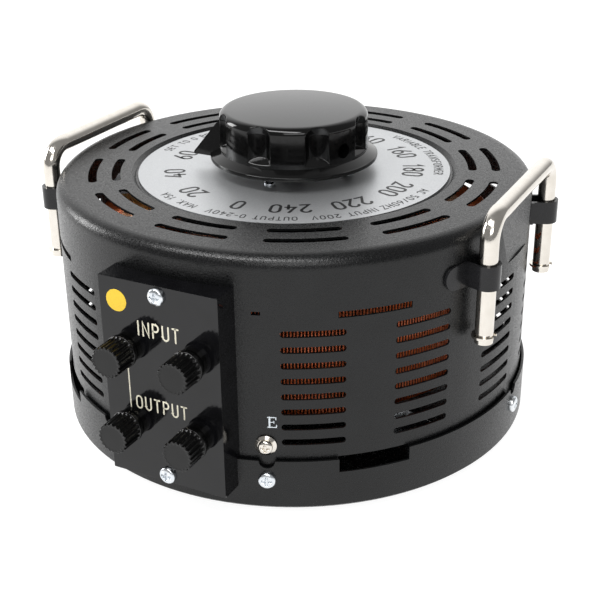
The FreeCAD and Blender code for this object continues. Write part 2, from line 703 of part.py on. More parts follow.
# ---------------------------------------------------------------- transformer
def ring_shell(outer, bore, low, high, rounding):
    """An octagonal-cornered ring given by its radii and heights."""
    return [
        (bore + " + %s" % rounding, low),
        (outer + " - %s" % rounding, low),
        (outer, low + " + %s" % rounding),
        (outer, high + " - %s" % rounding),
        (outer + " - %s" % rounding, high),
        (bore + " + %s" % rounding, high),
        (bore, high + " - %s" % rounding),
        (bore, low + " + %s" % rounding),
    ]


def make_transformer():
    skin = "winding_skin"
    inner = "winding_inner_skin"
    outside = turned(ring_shell("winding_radius", "winding_bore", "winding_low", "winding_high", "3"),
                     "WindingForm")
    inside = turned(ring_shell("winding_radius - %s" % skin, "winding_bore + %s" % inner,
                               "winding_low + %s" % skin, "winding_high - %s" % skin, "1.5"),
                    "WindingRoom")
    keep(cut(outside, inside), "winding")
    wrap_out = turned(ring_shell("winding_radius - %s - 0.02" % skin,
                                 "winding_bore + %s + 0.02" % inner,
                                 "winding_low + %s" % skin, "winding_high - %s" % skin, "1.5"),
                      "WrapForm")
    wrap_in = turned(ring_shell("winding_radius - %s - wrap_thick" % skin,
                                "winding_bore + %s + wrap_thick" % inner,
                                "winding_low + %s + wrap_thick" % skin,
                                "winding_high - %s - wrap_thick" % skin, "0.6"), "WrapRoom")
    keep(cut(wrap_out, wrap_in), "core_wrap")
    keep(turned(ring_shell("winding_radius - %s - wrap_thick - 0.05" % skin,
                           "winding_bore + %s + wrap_thick + 0.05" % inner,
                           "winding_low + %s + wrap_thick + 0.05" % skin,
                           "winding_high - %s - wrap_thick - 0.05" % skin, "0.6"), "CoreForm"), "core")

    play = "hole_play"
    disc = cylinder("support_radius", "support_disc", z="support_high - support_disc")
    hub = cylinder("hub_radius", "14", z="support_high - 18")
    leg = cylinder("leg_radius", "support_high - support_disc - foot_height - pan_floor",
                   x="leg_circle", z="foot_height + pan_floor")
    bolt_hole = cylinder("bolt_radius + %s" % play, "30", x="bolt_circle", z="support_high - 20")
    leg_hole = cylinder("screw_radius + 0.05", "16", x="leg_circle", z="foot_height")
    lead_hole = cylinder("4", "40", x="30", z="support_high - 30")
    keep(cut(
        fuse(disc, hub, around(leg, FOOT_BEARINGS)),
        cylinder("bush_radius + 0.02", "60", z="0"),
        around(bolt_hole, BOLT_BEARINGS),
        around(leg_hole, FOOT_BEARINGS),
        around(lead_hole, [LEAD_BEARING]),
    ), "lower_frame")
    frame_screw = fuse(
        cylinder("3.6", "1.9", x="leg_circle", z="foot_height - 1.9"),
        cylinder("screw_radius", "12", x="leg_circle", z="foot_height"),
    )
    keep(around(frame_screw, FOOT_BEARINGS), "frame_screws")
    keep(cut(cylinder("support_radius", "winding_low - support_high", z="support_high"),
             cylinder("58", "9", z="support_high - 2")), "lower_insulator")
    keep(cut(cylinder("clamp_radius", "clamp_low - winding_high", z="winding_high"),
             cylinder("58", "9", z="winding_high - 2")), "upper_insulator")
    keep(cut(
        fuse(cylinder("clamp_radius", "clamp_high - clamp_low", z="clamp_low"),
             cylinder("hub_radius", "14", z="clamp_low - 14")),
        cylinder("bush_radius + 0.02", "60", z="clamp_low - 30"),
        around(cylinder("bolt_radius + %s" % play, "30", x="bolt_circle", z="clamp_low - 10"),
               BOLT_BEARINGS),
        around(lead_hole_above(), [LEAD_BEARING]),
        around(cylinder("1.6", "9", x="26", z="clamp_high - 6"), [COLLECTOR_BEARING]),
        around(cylinder("2.05", "9", x="stop_circle", z="clamp_high - 7"), [stop_bearing()]),
    ), "upper_clamp")
    for name, low, high in (("lower_bush", "support_high - 18", "support_high"),
                            ("upper_bush", "clamp_low - 14", "clamp_high")):
        keep(cut(cylinder("bush_radius", "%s - (%s)" % (high, low), z=low),
                 cylinder("shaft_radius + shaft_play", "60", z="%s - 5" % low)), name)
    bolt = fuse(
        hexagon("10", "4", x="bolt_circle", z="clamp_high"),
        cylinder("bolt_radius", "clamp_high - support_high + support_disc", x="bolt_circle",
                 z="support_high - support_disc"),
    )
    keep(around(bolt, BOLT_BEARINGS), "tie_bolts")
    peg = fuse(cylinder("stop_radius", "4.8", x="stop_circle", z="clamp_high"),
               cylinder("2", "4.5", x="stop_circle", z="clamp_high - 4.5"))
    keep(around(peg, [stop_bearing()]), "stop_peg")


def lead_hole_above():
    return cylinder("4", "30", x="30", z="clamp_low - 10")


def stop_bearing():
    """Bearing of the fixed stop, round from the turning stop at rest."""
    return size("pointer_angle") + 180 + STOP_SPREAD


# ---------------------------------------------------------------- rotor
def make_rotor():
    arm_bearing = size("pointer_angle")
    thick = "arm_high - arm_low"
    keep(cylinder("shaft_radius", "shaft_high - shaft_low", z="shaft_low"), "shaft")
    keep(cut(cylinder("9", "1.2", z="support_high - 19.6"),
             cylinder("shaft_radius + 0.02", "4", z="support_high - 21")), "shaft_retainer")
    sleeve = cut(
        fuse(cylinder("hub_sleeve", "arm_low - clamp_high - 0.6", z="clamp_high + 0.6"),
             cylinder("hub_sleeve - 3", "arm_high - arm_low + 2", z="arm_low")),
        cylinder("shaft_radius + 0.02", "60", z="clamp_high - 10"),
    )
    keep(sleeve, "hub_sleeve")
    keep(cut(cylinder("ring_radius", "3", z="clamp_high + 1.6"),
             cylinder("hub_sleeve + 0.02", "9", z="clamp_high")), "slip_ring")
    blade = fuse(
        cylinder("arm_disc", thick, z="arm_low"),
        box("arm_reach", "2 * arm_half", thick, y="-arm_half", z="arm_low"),
    )
    brush_hole = box("brush_long + 0.6", "brush_wide + 0.6", "9",
                     x="brush_circle - brush_long / 2 - 0.3", y="-brush_wide / 2 - 0.3",
                     z="arm_low - 4")
    lug_hole = copies(cylinder("2.05", "9", x="stop_circle", z="arm_low - 3"), [spin(180)])
    holder_holes = copies(cylinder("1.55", "9", x="brush_circle - 15", z="arm_low - 3"), [spin(0)])
    arm = cut(blade, cylinder("hub_sleeve - 3 + 0.02", "60", z="arm_low - 20"), brush_hole,
              lug_hole, holder_holes)
    keep(copies(arm, [spin(arm_bearing)]), "brush_arm")
    lug = fuse(cylinder("lug_radius", "arm_low - clamp_high - 0.6", x="stop_circle",
                        z="clamp_high + 0.6"),
               cylinder("2", thick, x="stop_circle", z="arm_low"))
    keep(copies(lug, [spin(arm_bearing + 180)]), "turning_stop")

    holder_low = "winding_high + 2.2"
    holder = cut(
        fuse(box("brush_long + 3", "brush_wide + 3", "arm_low - (%s)" % holder_low,
                 x="brush_circle - brush_long / 2 - 1.5", y="-brush_wide / 2 - 1.5", z=holder_low),
             box("14", "brush_wide + 3", "1.5", x="brush_circle - 21", y="-brush_wide / 2 - 1.5",
                 z="arm_low - 1.5")),
        box("brush_long + 0.2", "brush_wide + 0.2", "30", x="brush_circle - brush_long / 2 - 0.1",
            y="-brush_wide / 2 - 0.1", z="winding_high"),
        cylinder("1.55", "9", x="brush_circle - 15", z="arm_low - 3"),
    )
    keep(copies(holder, [spin(arm_bearing)]), "brush_holder")
    cap = fuse(
        box("brush_long + 3", "brush_wide + 3", "1.2", x="brush_circle - brush_long / 2 - 1.5",
            y="-brush_wide / 2 - 1.5", z="arm_high"),
        box("13", "brush_wide + 3", "1.2", x="brush_circle - 20.5", y="-brush_wide / 2 - 1.5",
            z="arm_high"),
    )
    pin = fuse(cylinder("1.5", "arm_high - arm_low + 1.5", x="brush_circle - 15", z="arm_low - 1.5"),
               cylinder("2.6", "0.9", x="brush_circle - 15", z="arm_high + 1.2"))
    keep(copies(fuse(cap, pin), [spin(arm_bearing)]), "brush_cap")
    brush = box("brush_long", "brush_wide", "7.5", x="brush_circle - brush_long / 2",
                y="-brush_wide / 2", z="winding_high + brush_gap")
    keep(copies(brush, [spin(arm_bearing)]), "carbon_brush")
    spring_low = "winding_high + brush_gap + 7.52"
    spring = cut(cylinder("2.6", "arm_high - (%s)" % spring_low, x="brush_circle", z=spring_low),
                 cylinder("2.0", "30", x="brush_circle", z="winding_high"))
    keep(copies(spring, [spin(arm_bearing)]), "brush_spring")


def make_collector():
    block = fuse(box("8", "10", "2.6", x="24", y="-5", z="clamp_high"),
                 cylinder("1.55", "4", x="26", z="clamp_high - 4"))
    keep(copies(block, [spin(COLLECTOR_BEARING)]), "collector_block")
    leaf = fuse(
        box("8.4", "6", "0.6", x="23.4", y="-3", z="clamp_high + 2.6"),
        box("0.6", "6", "2.3", x="23.4", y="-3", z="clamp_high + 0.9"),
        box("4.3", "5", "0.6", x="19.4", y="-2.5", z="clamp_high + 2.0"),
    )
    keep(copies(leaf, [spin(COLLECTOR_BEARING)]), "collector_leaf")


# ---------------------------------------------------------------- leads
def make_leads():
    post_x = size("post_x")
    leads = []
    for level, spread in ((1, 25.0), (-1, 11.0)):
        height = size("post_z") + level * size("post_half")
        for side in (-1, 1):
            leads.append(tube([
                (side * post_x, -130.4, height - 8),
                (side * post_x, -125.5, height - 10),
                (side * spread, -119.6, height - 22),
                (side * spread, -118.2, 36),
                (side * spread, -104, 30),
                (side * spread, -98, 42.6),
            ], "1.5"))
    keep(group(*leads), "terminal_leads")
    out = Rotation(Z_AXIS, LEAD_BEARING)
    route = [(30, 0, 119.5), (30, 0, 28), (52, 12, 20), (84, 30, 24), (90, 42, 42.6)]
    keep(tube([out.multVec(Vector(*point)) for point in route], "1.5"), "brush_lead")


# ---------------------------------------------------------------- handles
def strap_frame():
    """Bearing and distance from the axis of a handle leg."""
    bearing = math.degrees(math.atan2(size("handle_y"), size("handle_x")))
    return bearing, math.hypot(size("handle_x"), size("handle_y"))


def make_handles():
    bend = "handle_bend"
    leg = cylinder("handle_rod", "handle_bar - handle_bend - handle_low", x="handle_x",
                   y="handle_y", z="handle_low")
    elbow = doc.addObject("Part::Torus", "Elbow")
    bind(elbow, Radius1=bend, Radius2="handle_rod")
    elbow.Angle3 = 90
    place(elbow, x="handle_x", y="handle_y - handle_bend", z="handle_bar - handle_bend",
          turn=Rotation(Y_AXIS, Z_AXIS, X_AXIS, "XYZ"))
    groove_low = "ring_low - 0.1"
    groove = cut(cylinder("handle_rod + 2", "ring_thick + 0.2", x="handle_x", y="handle_y", z=groove_low),
                 cylinder("handle_rod - 0.8", "9", x="handle_x", y="handle_y", z="ring_low - 3"))
    half = cut(fuse(leg, elbow), groove)
    bar = cylinder("handle_rod", "2 * (handle_y - handle_bend)", x="handle_x",
                   y="-(handle_y - handle_bend)", z="handle_bar", turn=(X_AXIS, -90))
    mirror = doc.addObject("Part::Mirroring", "OtherHalf")
    mirror.Source = half
    mirror.Normal = Y_AXIS
    handle = fuse(half, mirror, bar)
    ring = cut(cylinder("handle_rod + 1.6", "ring_thick", x="handle_x", z="ring_low"),
               cylinder("handle_rod - 0.78", "9", x="handle_x", z="ring_low - 3"),
               box("20", "5", "4", x="handle_x", y="-2.5", z="ring_low - 1"))
    leg_y = size("handle_y")
    rings = copies(ring, [Placement(Vector(0, side * leg_y, 0), Rotation()) for side in (-1, 1)])
    for name, side in SIDES:
        turn = spin(0 if side > 0 else 180)
        keep(copies(handle, [turn]), "handle_" + name)
        keep(copies(rings, [turn]), "handle_rings_" + name)

    bearing, distance = strap_frame()
    tall = "strap_tall"
    low = "clamp_strap_low"
    wide = "handle_rod + 0.3"
    saddle = fuse(
        cylinder("%s + strap_thick" % wide, tall, x=str(distance), z=low),
        box("%s - handle_x" % distance, "2 * (%s + strap_thick)" % wide, tall, x="handle_x",
            y="-(%s) - strap_thick" % wide, z=low),
    )
    bridge = cut(
        saddle,
        cylinder(wide, "40", x=str(distance), z="clamp_strap_low - 10"),
        box("%s - 120" % distance, "2 * (%s)" % wide, "40", x="120", y="-(%s)" % wide,
            z="clamp_strap_low - 10"),
        cylinder("cover_radius + 0.05", "60", z="clamp_strap_low - 20"),
    )
    shell = cut(cylinder("cover_radius + 0.05 + strap_thick", tall, z=low),
                cylinder("cover_radius + 0.05", "60", z="clamp_strap_low - 20"))
    ear_outline = fuse(
        cylinder("strap_tall / 2", "30", x="115", y="ear_reach",
                 z="clamp_strap_low + strap_tall / 2", turn=(Y_AXIS, 90)),
        box("30", "ear_reach - (%s)" % wide, tall, x="115", y=wide, z=low),
    )
    toe_outline = box("30", "3", tall, x="115", y="-(%s) - 3" % wide, z=low)
    ear = common(shell, fuse(ear_outline, toe_outline))
    clamp = fuse(bridge, ear)
    mirrored = doc.addObject("Part::Mirroring", "OtherHand")
    mirrored.Source = clamp
    mirrored.Normal = Y_AXIS
    for name, side in SIDES:
        turn = 0 if side > 0 else 180
        rear = copies(clamp, [spin(turn + bearing)])
        front = copies(mirrored, [spin(turn - bearing)])
        keep(group(rear, front), "handle_clamps_" + name)


# ---------------------------------------------------------------- build, check and write
def main():
    make_base()
    make_cover()
    make_terminals()
    make_earth()
    make_dial()
    make_knob()
    make_transformer()
    make_rotor()
    make_collector()
    make_leads()
    make_handles()
    doc.recompute()
    faults = []
    for thing in doc.Objects:
        if "Invalid" in thing.State or "Error" in thing.State:
            faults.append("%s (%s): %s" % (thing.Name, thing.Label, thing.State))
    for label, thing in parts.items():
        shape = thing.Shape
        if shape.isNull() or not shape.isValid() or not shape.Solids:
            faults.append("%s: no valid solid" % label)
    if faults:
        raise RuntimeError("\n".join(faults))
    os.makedirs("parts", exist_ok=True)
    for label, thing in parts.items():
        thing.Shape.exportStep("parts/%s.step" % label)
        print("%-28s %2d solids %10.0f mm3" % (label, len(thing.Shape.Solids), thing.Shape.Volume))
    print(len(parts), "sub-parts")


main()
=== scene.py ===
"""Looks of the bench variable autotransformer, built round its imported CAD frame.  Metres, +Z up."""
import json
import math

import bmesh
import bpy
import numpy as np
from mathutils import Matrix, Vector


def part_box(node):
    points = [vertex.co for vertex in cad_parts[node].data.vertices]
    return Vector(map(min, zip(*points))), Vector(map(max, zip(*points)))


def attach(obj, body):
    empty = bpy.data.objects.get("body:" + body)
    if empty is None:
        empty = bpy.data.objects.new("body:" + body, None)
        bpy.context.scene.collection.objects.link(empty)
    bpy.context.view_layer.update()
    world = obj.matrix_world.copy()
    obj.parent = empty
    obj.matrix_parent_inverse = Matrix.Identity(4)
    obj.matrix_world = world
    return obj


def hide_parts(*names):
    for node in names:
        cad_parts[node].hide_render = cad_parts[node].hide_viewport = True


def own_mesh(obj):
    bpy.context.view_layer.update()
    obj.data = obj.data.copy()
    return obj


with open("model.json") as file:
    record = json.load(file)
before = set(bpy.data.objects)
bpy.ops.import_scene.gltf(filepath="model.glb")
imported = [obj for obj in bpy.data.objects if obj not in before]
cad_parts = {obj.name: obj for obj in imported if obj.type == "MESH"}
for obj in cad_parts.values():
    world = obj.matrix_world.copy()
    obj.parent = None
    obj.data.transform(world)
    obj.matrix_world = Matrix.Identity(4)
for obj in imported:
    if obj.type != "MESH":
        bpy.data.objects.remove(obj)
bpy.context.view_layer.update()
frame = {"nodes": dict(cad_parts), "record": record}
MM = 0.001
TAU = 2 * math.pi


# ---------------------------------------------------------------- places, from the frame
def corner(node, which, axis):
    """One coordinate of a node's box: which is 0 for the low corner, 1 for the high one."""
    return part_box(node)[which][axis]


DIAL_FACE = corner("dial_plate", 1, 2)
PANEL_FACE = corner("terminal_box", 0, 1)
COVER_RADIUS = 127.7 * MM
POINTER_BEARING = math.radians(-157.5)
POST_NAMES = ["input_left", "input_right", "output_left", "output_right"]
KNOB_BODY = 39.6 * MM
KNOB_SKIRT = 45.0 * MM
KNOB_FLUTES = 8
SET_SCREW_BORE = 3.8 * MM


# ---------------------------------------------------------------- materials
class Shader:
    """A Principled material with short names for the nodes that shape it."""

    def __init__(self, name, colour, roughness, metallic=0.0, **sockets):
        self.material = bpy.data.materials.new(name)
        self.material.use_nodes = True
        self.tree = self.material.node_tree
        self.bsdf = self.tree.nodes["Principled BSDF"]
        self.coords = self.tree.nodes.new("ShaderNodeTexCoord").outputs["Object"]
        self.bsdf.inputs["Base Color"].default_value = (*colour, 1)
        self.bsdf.inputs["Roughness"].default_value = roughness
        self.bsdf.inputs["Metallic"].default_value = metallic
        for socket, value in sockets.items():
            self.bsdf.inputs[socket.replace("_", " ")].default_value = value

    def node(self, kind, **settings):
        made = self.tree.nodes.new(kind)
        for key, value in settings.items():
            setattr(made, key, value)
        return made

    def link(self, source, target):
        self.tree.links.new(source, target)

    def stretched(self, x, y, z):
        """Object coordinates scaled along each axis, for brushed and drawn grain."""
        mapping = self.node("ShaderNodeMapping")
        mapping.inputs["Scale"].default_value = (x, y, z)
        self.link(self.coords, mapping.inputs["Vector"])
        return mapping.outputs["Vector"]

    def noise(self, size, detail=2.0, vector=None):
        """A noise whose features are about size metres across."""
        made = self.node("ShaderNodeTexNoise")
        made.inputs["Scale"].default_value = 1 / size
        made.inputs["Detail"].default_value = detail
        self.link(vector or self.coords, made.inputs["Vector"])
        return made.outputs["Fac"]

    def mapped(self, value, low, high):
        """A noise value taken from its usual 0.3 to 0.7 to the range low to high."""
        made = self.node("ShaderNodeMapRange")
        made.inputs["From Min"].default_value = 0.3
        made.inputs["From Max"].default_value = 0.7
        made.inputs["To Min"].default_value = low
        made.inputs["To Max"].default_value = high
        self.link(value, made.inputs["Value"])
        return made.outputs["Result"]

    def colours(self, value, stops):
        """A colour ramp over a value; stops are (place, colour)."""
        ramp = self.node("ShaderNodeValToRGB")
        elements = ramp.color_ramp.elements
        while len(elements) < len(stops):
            elements.new(0.5)
        for element, (place, colour) in zip(elements, stops):
            element.position = place
            element.color = (*colour, 1)
        self.link(value, ramp.inputs["Fac"])
        self.link(ramp.outputs["Color"], self.bsdf.inputs["Base Color"])

    def rough(self, value, low, high):
        self.link(self.mapped(value, low, high), self.bsdf.inputs["Roughness"])

    def bump(self, height, depth):
        """Relief of depth metres from a height between 0 and 1; calls add up."""
        made = self.node("ShaderNodeBump")
        made.inputs["Distance"].default_value = depth
        made.inputs["Strength"].default_value = 1.0
        self.link(height, made.inputs["Height"])
        if self.bsdf.inputs["Normal"].links:
            self.link(self.bsdf.inputs["Normal"].links[0].from_socket, made.inputs["Normal"])
        self.link(made.outputs["Normal"], self.bsdf.inputs["Normal"])


def painted(name, colour, grain, depth, roughness):
    """Baked paint with a fine pebble and faint cloudy changes of tone and gloss."""
    made = Shader(name, colour, roughness, Specular_IOR_Level=0.33)
    darker = tuple(0.7 * part for part in colour)
    lighter = tuple(1.35 * part for part in colour)
    made.colours(made.noise(18 * MM, 4), [(0.3, darker), (0.7, lighter)])
    made.rough(made.noise(0.8 * grain, 1), roughness - 0.16, roughness + 0.10)
    made.bump(made.noise(grain, 1), depth)
    made.bump(made.noise(0.45 * grain, 1), 0.4 * depth)
    return made.material


def moulded(name, colour, roughness, ripple, gloss):
    """Hard moulded plastic or bakelite: glossy, with a slow ripple and faint dust."""
    made = Shader(name, colour, roughness, Specular_IOR_Level=gloss)
    made.colours(made.noise(9 * MM, 3), [(0.35, colour), (0.75, tuple(1.8 * part for part in colour))])
    made.rough(made.noise(2.5 * MM, 5), roughness - 0.03, roughness + 0.05)
    made.bump(made.noise(7 * MM, 1), ripple)
    made.bump(made.noise(0.25 * MM, 2), 0.0008 * MM)
    return made.material


def metal(name, colour, roughness, tint, grain=None):
    """Plated or machined metal: cloudy colour, uneven gloss and a drawn or turned grain."""
    made = Shader(name, colour, roughness, metallic=1.0)
    made.colours(made.noise(6 * MM, 4), [(0.3, tint), (0.7, colour)])
    made.rough(made.noise(1.2 * MM, 4), roughness - 0.05, roughness + 0.09)
    vector = made.stretched(*grain) if grain else None
    made.bump(made.noise(0.4 * MM, 3, vector), 0.004 * MM)
    return made.material


def dial_aluminium():
    """Satin anodised plate: a fine even grain with a soft cloudy sheen."""
    made = Shader("satin_aluminium", (0.50, 0.51, 0.52), 0.36, metallic=0.85)
    made.colours(made.noise(0.35 * MM, 3), [(0.25, (0.45, 0.46, 0.47)), (0.75, (0.58, 0.59, 0.60))])
    made.rough(made.noise(0.8 * MM, 4), 0.38, 0.50)
    made.bump(made.noise(0.22 * MM, 2), 0.006 * MM)
    return made.material


def enamelled_copper():
    """Copper wire under amber enamel, bare on the track under the brush."""
    made = Shader("enamelled_copper", (0.50, 0.13, 0.04), 0.28, metallic=0.75, Coat_Weight=0.6,
                  Coat_Roughness=0.15)
    spot = made.node("ShaderNodeSeparateXYZ")
    made.link(made.coords, spot.inputs["Vector"])
    flat = made.node("ShaderNodeCombineXYZ")
    made.link(spot.outputs["X"], flat.inputs["X"])
    made.link(spot.outputs["Y"], flat.inputs["Y"])
    reach = made.node("ShaderNodeVectorMath", operation="LENGTH")
    made.link(flat.outputs["Vector"], reach.inputs[0])
    track_middle, track_half = 88 * MM, 8 * MM
    track = made.node("ShaderNodeMath", operation="COMPARE")
    track.inputs[1].default_value = track_middle
    track.inputs[2].default_value = track_half
    made.link(reach.outputs["Value"], track.inputs[0])
    top = made.node("ShaderNodeMath", operation="GREATER_THAN")
    top.inputs[1].default_value = corner("winding", 1, 2) - 0.35 * MM
    made.link(spot.outputs["Z"], top.inputs[0])
    bare = made.node("ShaderNodeMath", operation="MULTIPLY")
    made.link(track.outputs["Value"], bare.inputs[0])
    made.link(top.outputs["Value"], bare.inputs[1])
    enamel = made.node("ShaderNodeValToRGB")
    enamel.color_ramp.elements[0].color = (0.42, 0.07, 0.018, 1)
    enamel.color_ramp.elements[1].color = (0.78, 0.19, 0.05, 1)
    made.link(made.noise(4 * MM, 4), enamel.inputs["Fac"])
    blend = made.node("ShaderNodeMix", data_type="RGBA")
    made.link(bare.outputs["Value"], blend.inputs["Factor"])
    made.link(enamel.outputs["Color"], blend.inputs["A"])
    blend.inputs["B"].default_value = (0.66, 0.34, 0.19, 1)
    made.link(blend.outputs["Result"], made.bsdf.inputs["Base Color"])
    made.bump(made.noise(0.6 * MM, 2), 0.01 * MM)
    return made.material


def sheet_steel():
    """Silicon-steel strip wound into a ring: its turns show as fine lines."""
    made = Shader("silicon_steel", (0.32, 0.33, 0.35), 0.35, metallic=1.0)
    made.colours(made.noise(0.3 * MM, 2), [(0.3, (0.22, 0.23, 0.25)), (0.7, (0.42, 0.43, 0.45))])
    made.bump(made.noise(0.3 * MM, 1, made.stretched(0.05, 0.05, 1)), 0.02 * MM)
    return made.material


def fibrous(name, dark, light, size, roughness):
    """Paper, pressboard, laminate and sleeving: a matt stock with short fibres."""
    made = Shader(name, light, roughness)
    made.colours(made.noise(size, 6, made.stretched(1, 1, 4)), [(0.3, dark), (0.7, light)])
    made.rough(made.noise(4 * size, 3), roughness - 0.08, roughness + 0.08)
    made.bump(made.noise(0.5 * size, 4), 0.03 * MM)
    return made.material


def ink(name, colour):
    """Printing ink: nearly flat, with a slightly broken edge to its gloss."""
    made = Shader(name, colour, 0.5)
    made.colours(made.noise(0.4 * MM, 3), [(0.3, tuple(0.8 * part for part in colour)), (0.7, colour)])
    made.rough(made.noise(1.0 * MM, 3), 0.42, 0.58)
    made.bump(made.noise(0.15 * MM, 2), 0.004 * MM)
    return made.material


def floor_paper():
    """Pale glowing light-table paper, so that shadows on it stay faint."""
    made = Shader("studio_paper", (0.30, 0.30, 0.30), 0.9, Emission_Strength=0.92)
    made.bsdf.inputs["Emission Color"].default_value = (1, 1, 1, 1)
    made.colours(made.noise(40 * MM, 3), [(0.3, (0.29, 0.29, 0.29)), (0.7, (0.31, 0.31, 0.31))])
    made.bump(made.noise(1.5 * MM, 4), 0.02 * MM)
    return made.material


MATERIALS = {
    "dark_paint": painted("dark_paint", (0.0035, 0.0037, 0.004), 0.9 * MM, 0.10 * MM, 0.34),
    "black_enamel": painted("black_enamel", (0.010, 0.010, 0.011), 0.4 * MM, 0.006 * MM, 0.24),
    "black_rubber": fibrous("black_rubber", (0.010, 0.010, 0.010), (0.030, 0.030, 0.030), 1.0 * MM, 0.75),
    "black_moulding": moulded("black_moulding", (0.003, 0.003, 0.0035), 0.08, 0.004 * MM, 0.38),
    "black_bakelite": moulded("black_bakelite", (0.002, 0.002, 0.002), 0.08, 0.005 * MM, 0.33),
    "zinc": metal("zinc", (0.80, 0.82, 0.84), 0.24, (0.62, 0.66, 0.70)),
    "brass": metal("brass", (0.62, 0.45, 0.20), 0.30, (0.50, 0.34, 0.14)),
    "tinned_brass": metal("tinned_brass", (0.74, 0.72, 0.68), 0.32, (0.62, 0.58, 0.50)),
    "nickel": metal("nickel", (0.72, 0.685, 0.63), 0.12, (0.66, 0.62, 0.56)),
    "satin_aluminium": dial_aluminium(),
    "blackened_steel": metal("blackened_steel", (0.12, 0.12, 0.125), 0.38, (0.07, 0.07, 0.075)),
    "enamelled_copper": enamelled_copper(),
    # painted shade: the insulating paper is a brown stock darkened far below plain paper, so the gaps
    # between the winding's turns and the casing's inside read black
    "insulating_paper": fibrous("insulating_paper", (0.020, 0.014, 0.010), (0.050, 0.034, 0.022),
                                1.5 * MM, 0.7),
    "silicon_steel": sheet_steel(),
    "cast_aluminium": metal("cast_aluminium", (0.62, 0.63, 0.64), 0.45, (0.50, 0.51, 0.53)),
    "fibre_board": fibrous("fibre_board", (0.05, 0.03, 0.018), (0.11, 0.07, 0.04), 2.0 * MM, 0.65),
    "bronze": metal("bronze", (0.62, 0.40, 0.20), 0.35, (0.48, 0.30, 0.14)),
    "ground_steel": metal("ground_steel", (0.66, 0.67, 0.68), 0.22, (0.56, 0.57, 0.59), (0.1, 0.1, 1)),
    "phenolic": fibrous("phenolic", (0.09, 0.035, 0.015), (0.20, 0.08, 0.03), 1.2 * MM, 0.4),
    "carbon": fibrous("carbon", (0.012, 0.012, 0.013), (0.045, 0.045, 0.048), 0.4 * MM, 0.5),
    "lead_sleeve": fibrous("lead_sleeve", (0.22, 0.21, 0.19), (0.36, 0.35, 0.32), 0.6 * MM, 0.7),
}
BLACK_INK = ink("black_ink", (0.004, 0.004, 0.0045))
CREAM_INK = ink("cream_ink", (0.90, 0.85, 0.68))
WHITE_INK = ink("white_ink", (0.70, 0.76, 0.80))
YELLOW_INK = ink("yellow_ink", (0.90, 0.60, 0.03))


def dress_frame():
    """Give each CAD node the material of its slot in the record."""
    for part in frame["record"]["subparts"]:
        mesh = frame["nodes"][part["node"]].data
        mesh.materials.clear()
        mesh.materials.append(MATERIALS[part["material_slot"]])


# ---------------------------------------------------------------- mesh helpers
def piece(name, vertices, faces, body, material, stands_for=(), smooth=True):
    """A new mesh piece that rides on a CAD body."""
    mesh = bpy.data.meshes.new(name)
    mesh.from_pydata([tuple(map(float, v)) for v in vertices], [], [tuple(map(int, f)) for f in faces])
    mesh.validate()
    mesh.materials.append(material)
    mesh.polygons.foreach_set("use_smooth", [smooth] * len(mesh.polygons))
    made = bpy.data.objects.new(name, mesh)
    bpy.context.scene.collection.objects.link(made)
    if stands_for:
        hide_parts(*stands_for)
    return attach(made, body)


class Solids:
    """Vertices and faces of several closed solids gathered into one piece."""

    def __init__(self):
        self.vertices = []
        self.faces = []

    def add(self, vertices, faces):
        start = len(self.vertices)
        self.vertices.extend(vertices)
        self.faces.extend([tuple(start + index for index in face) for face in faces])


def grid_faces(rows, columns):
    """Quads between rows of points that close round."""
    faces = []
    for row in range(rows - 1):
        for column in range(columns):
            after = (column + 1) % columns
            faces.append((row * columns + column, row * columns + after,
                          (row + 1) * columns + after, (row + 1) * columns + column))
    return faces


def turned_grid(profile, columns, radius_rule):
    """A closed solid about Z from (radius, height) steps, each ring bent by radius_rule."""
    vertices = []
    bearings = [TAU * column / columns for column in range(columns)]
    for radius, height in profile:
        for bearing in bearings:
            reach = radius_rule(radius, height, bearing)
            vertices.append((reach * math.cos(bearing), reach * math.sin(bearing), height))
    faces = grid_faces(len(profile), columns)
    for ring, height in ((0, profile[0][1]), (len(profile) - 1, profile[-1][1])):
        centre = len(vertices)
        vertices.append((0, 0, height))
        for column in range(columns):
            after = (column + 1) % columns
            pair = (ring * columns + column, ring * columns + after)
            faces.append((centre, pair[1], pair[0]) if ring == 0 else (centre, *pair))
    return vertices, faces


def smooth_least(first, second, width):
    """The lesser of two values, with the corner between them rounded."""
    share = max(width - abs(first - second), 0) / width
    return min(first, second) - share * share * width / 4


def arc_steps(centre, radius, start, end, count):
    """(radius, height) steps round a quarter or less of a circle, angles in degrees."""
    steps = []
    for index in range(count + 1):
        angle = math.radians(start + (end - start) * index / count)
        steps.append((centre[0] + radius * math.cos(angle), centre[1] + radius * math.sin(angle)))
    return steps


def line_steps(start, end, count):
    """Points from start up to, but not including, end."""
    return [tuple(a + (b - a) * index / count for a, b in zip(start, end)) for index in range(count)]


def moved(vertices, matrix):
    return [matrix @ Vector(v) for v in vertices]


def out_from_axis(bearing, reach, height):
    """A matrix that turns +Z to point out from the dial axis, at that bearing in radians."""
    turn = Matrix.Rotation(bearing, 4, "Z") @ Matrix.Rotation(math.pi / 2, 4, "Y")
    spot = Vector((reach * math.cos(bearing), reach * math.sin(bearing), height))
    return Matrix.Translation(spot) @ turn


def out_of_panel(x, y, z):
    """A matrix that turns +Z to point out of the terminal box, towards -Y."""
    return Matrix.Translation((x, y, z)) @ Matrix.Rotation(math.pi / 2, 4, "X")


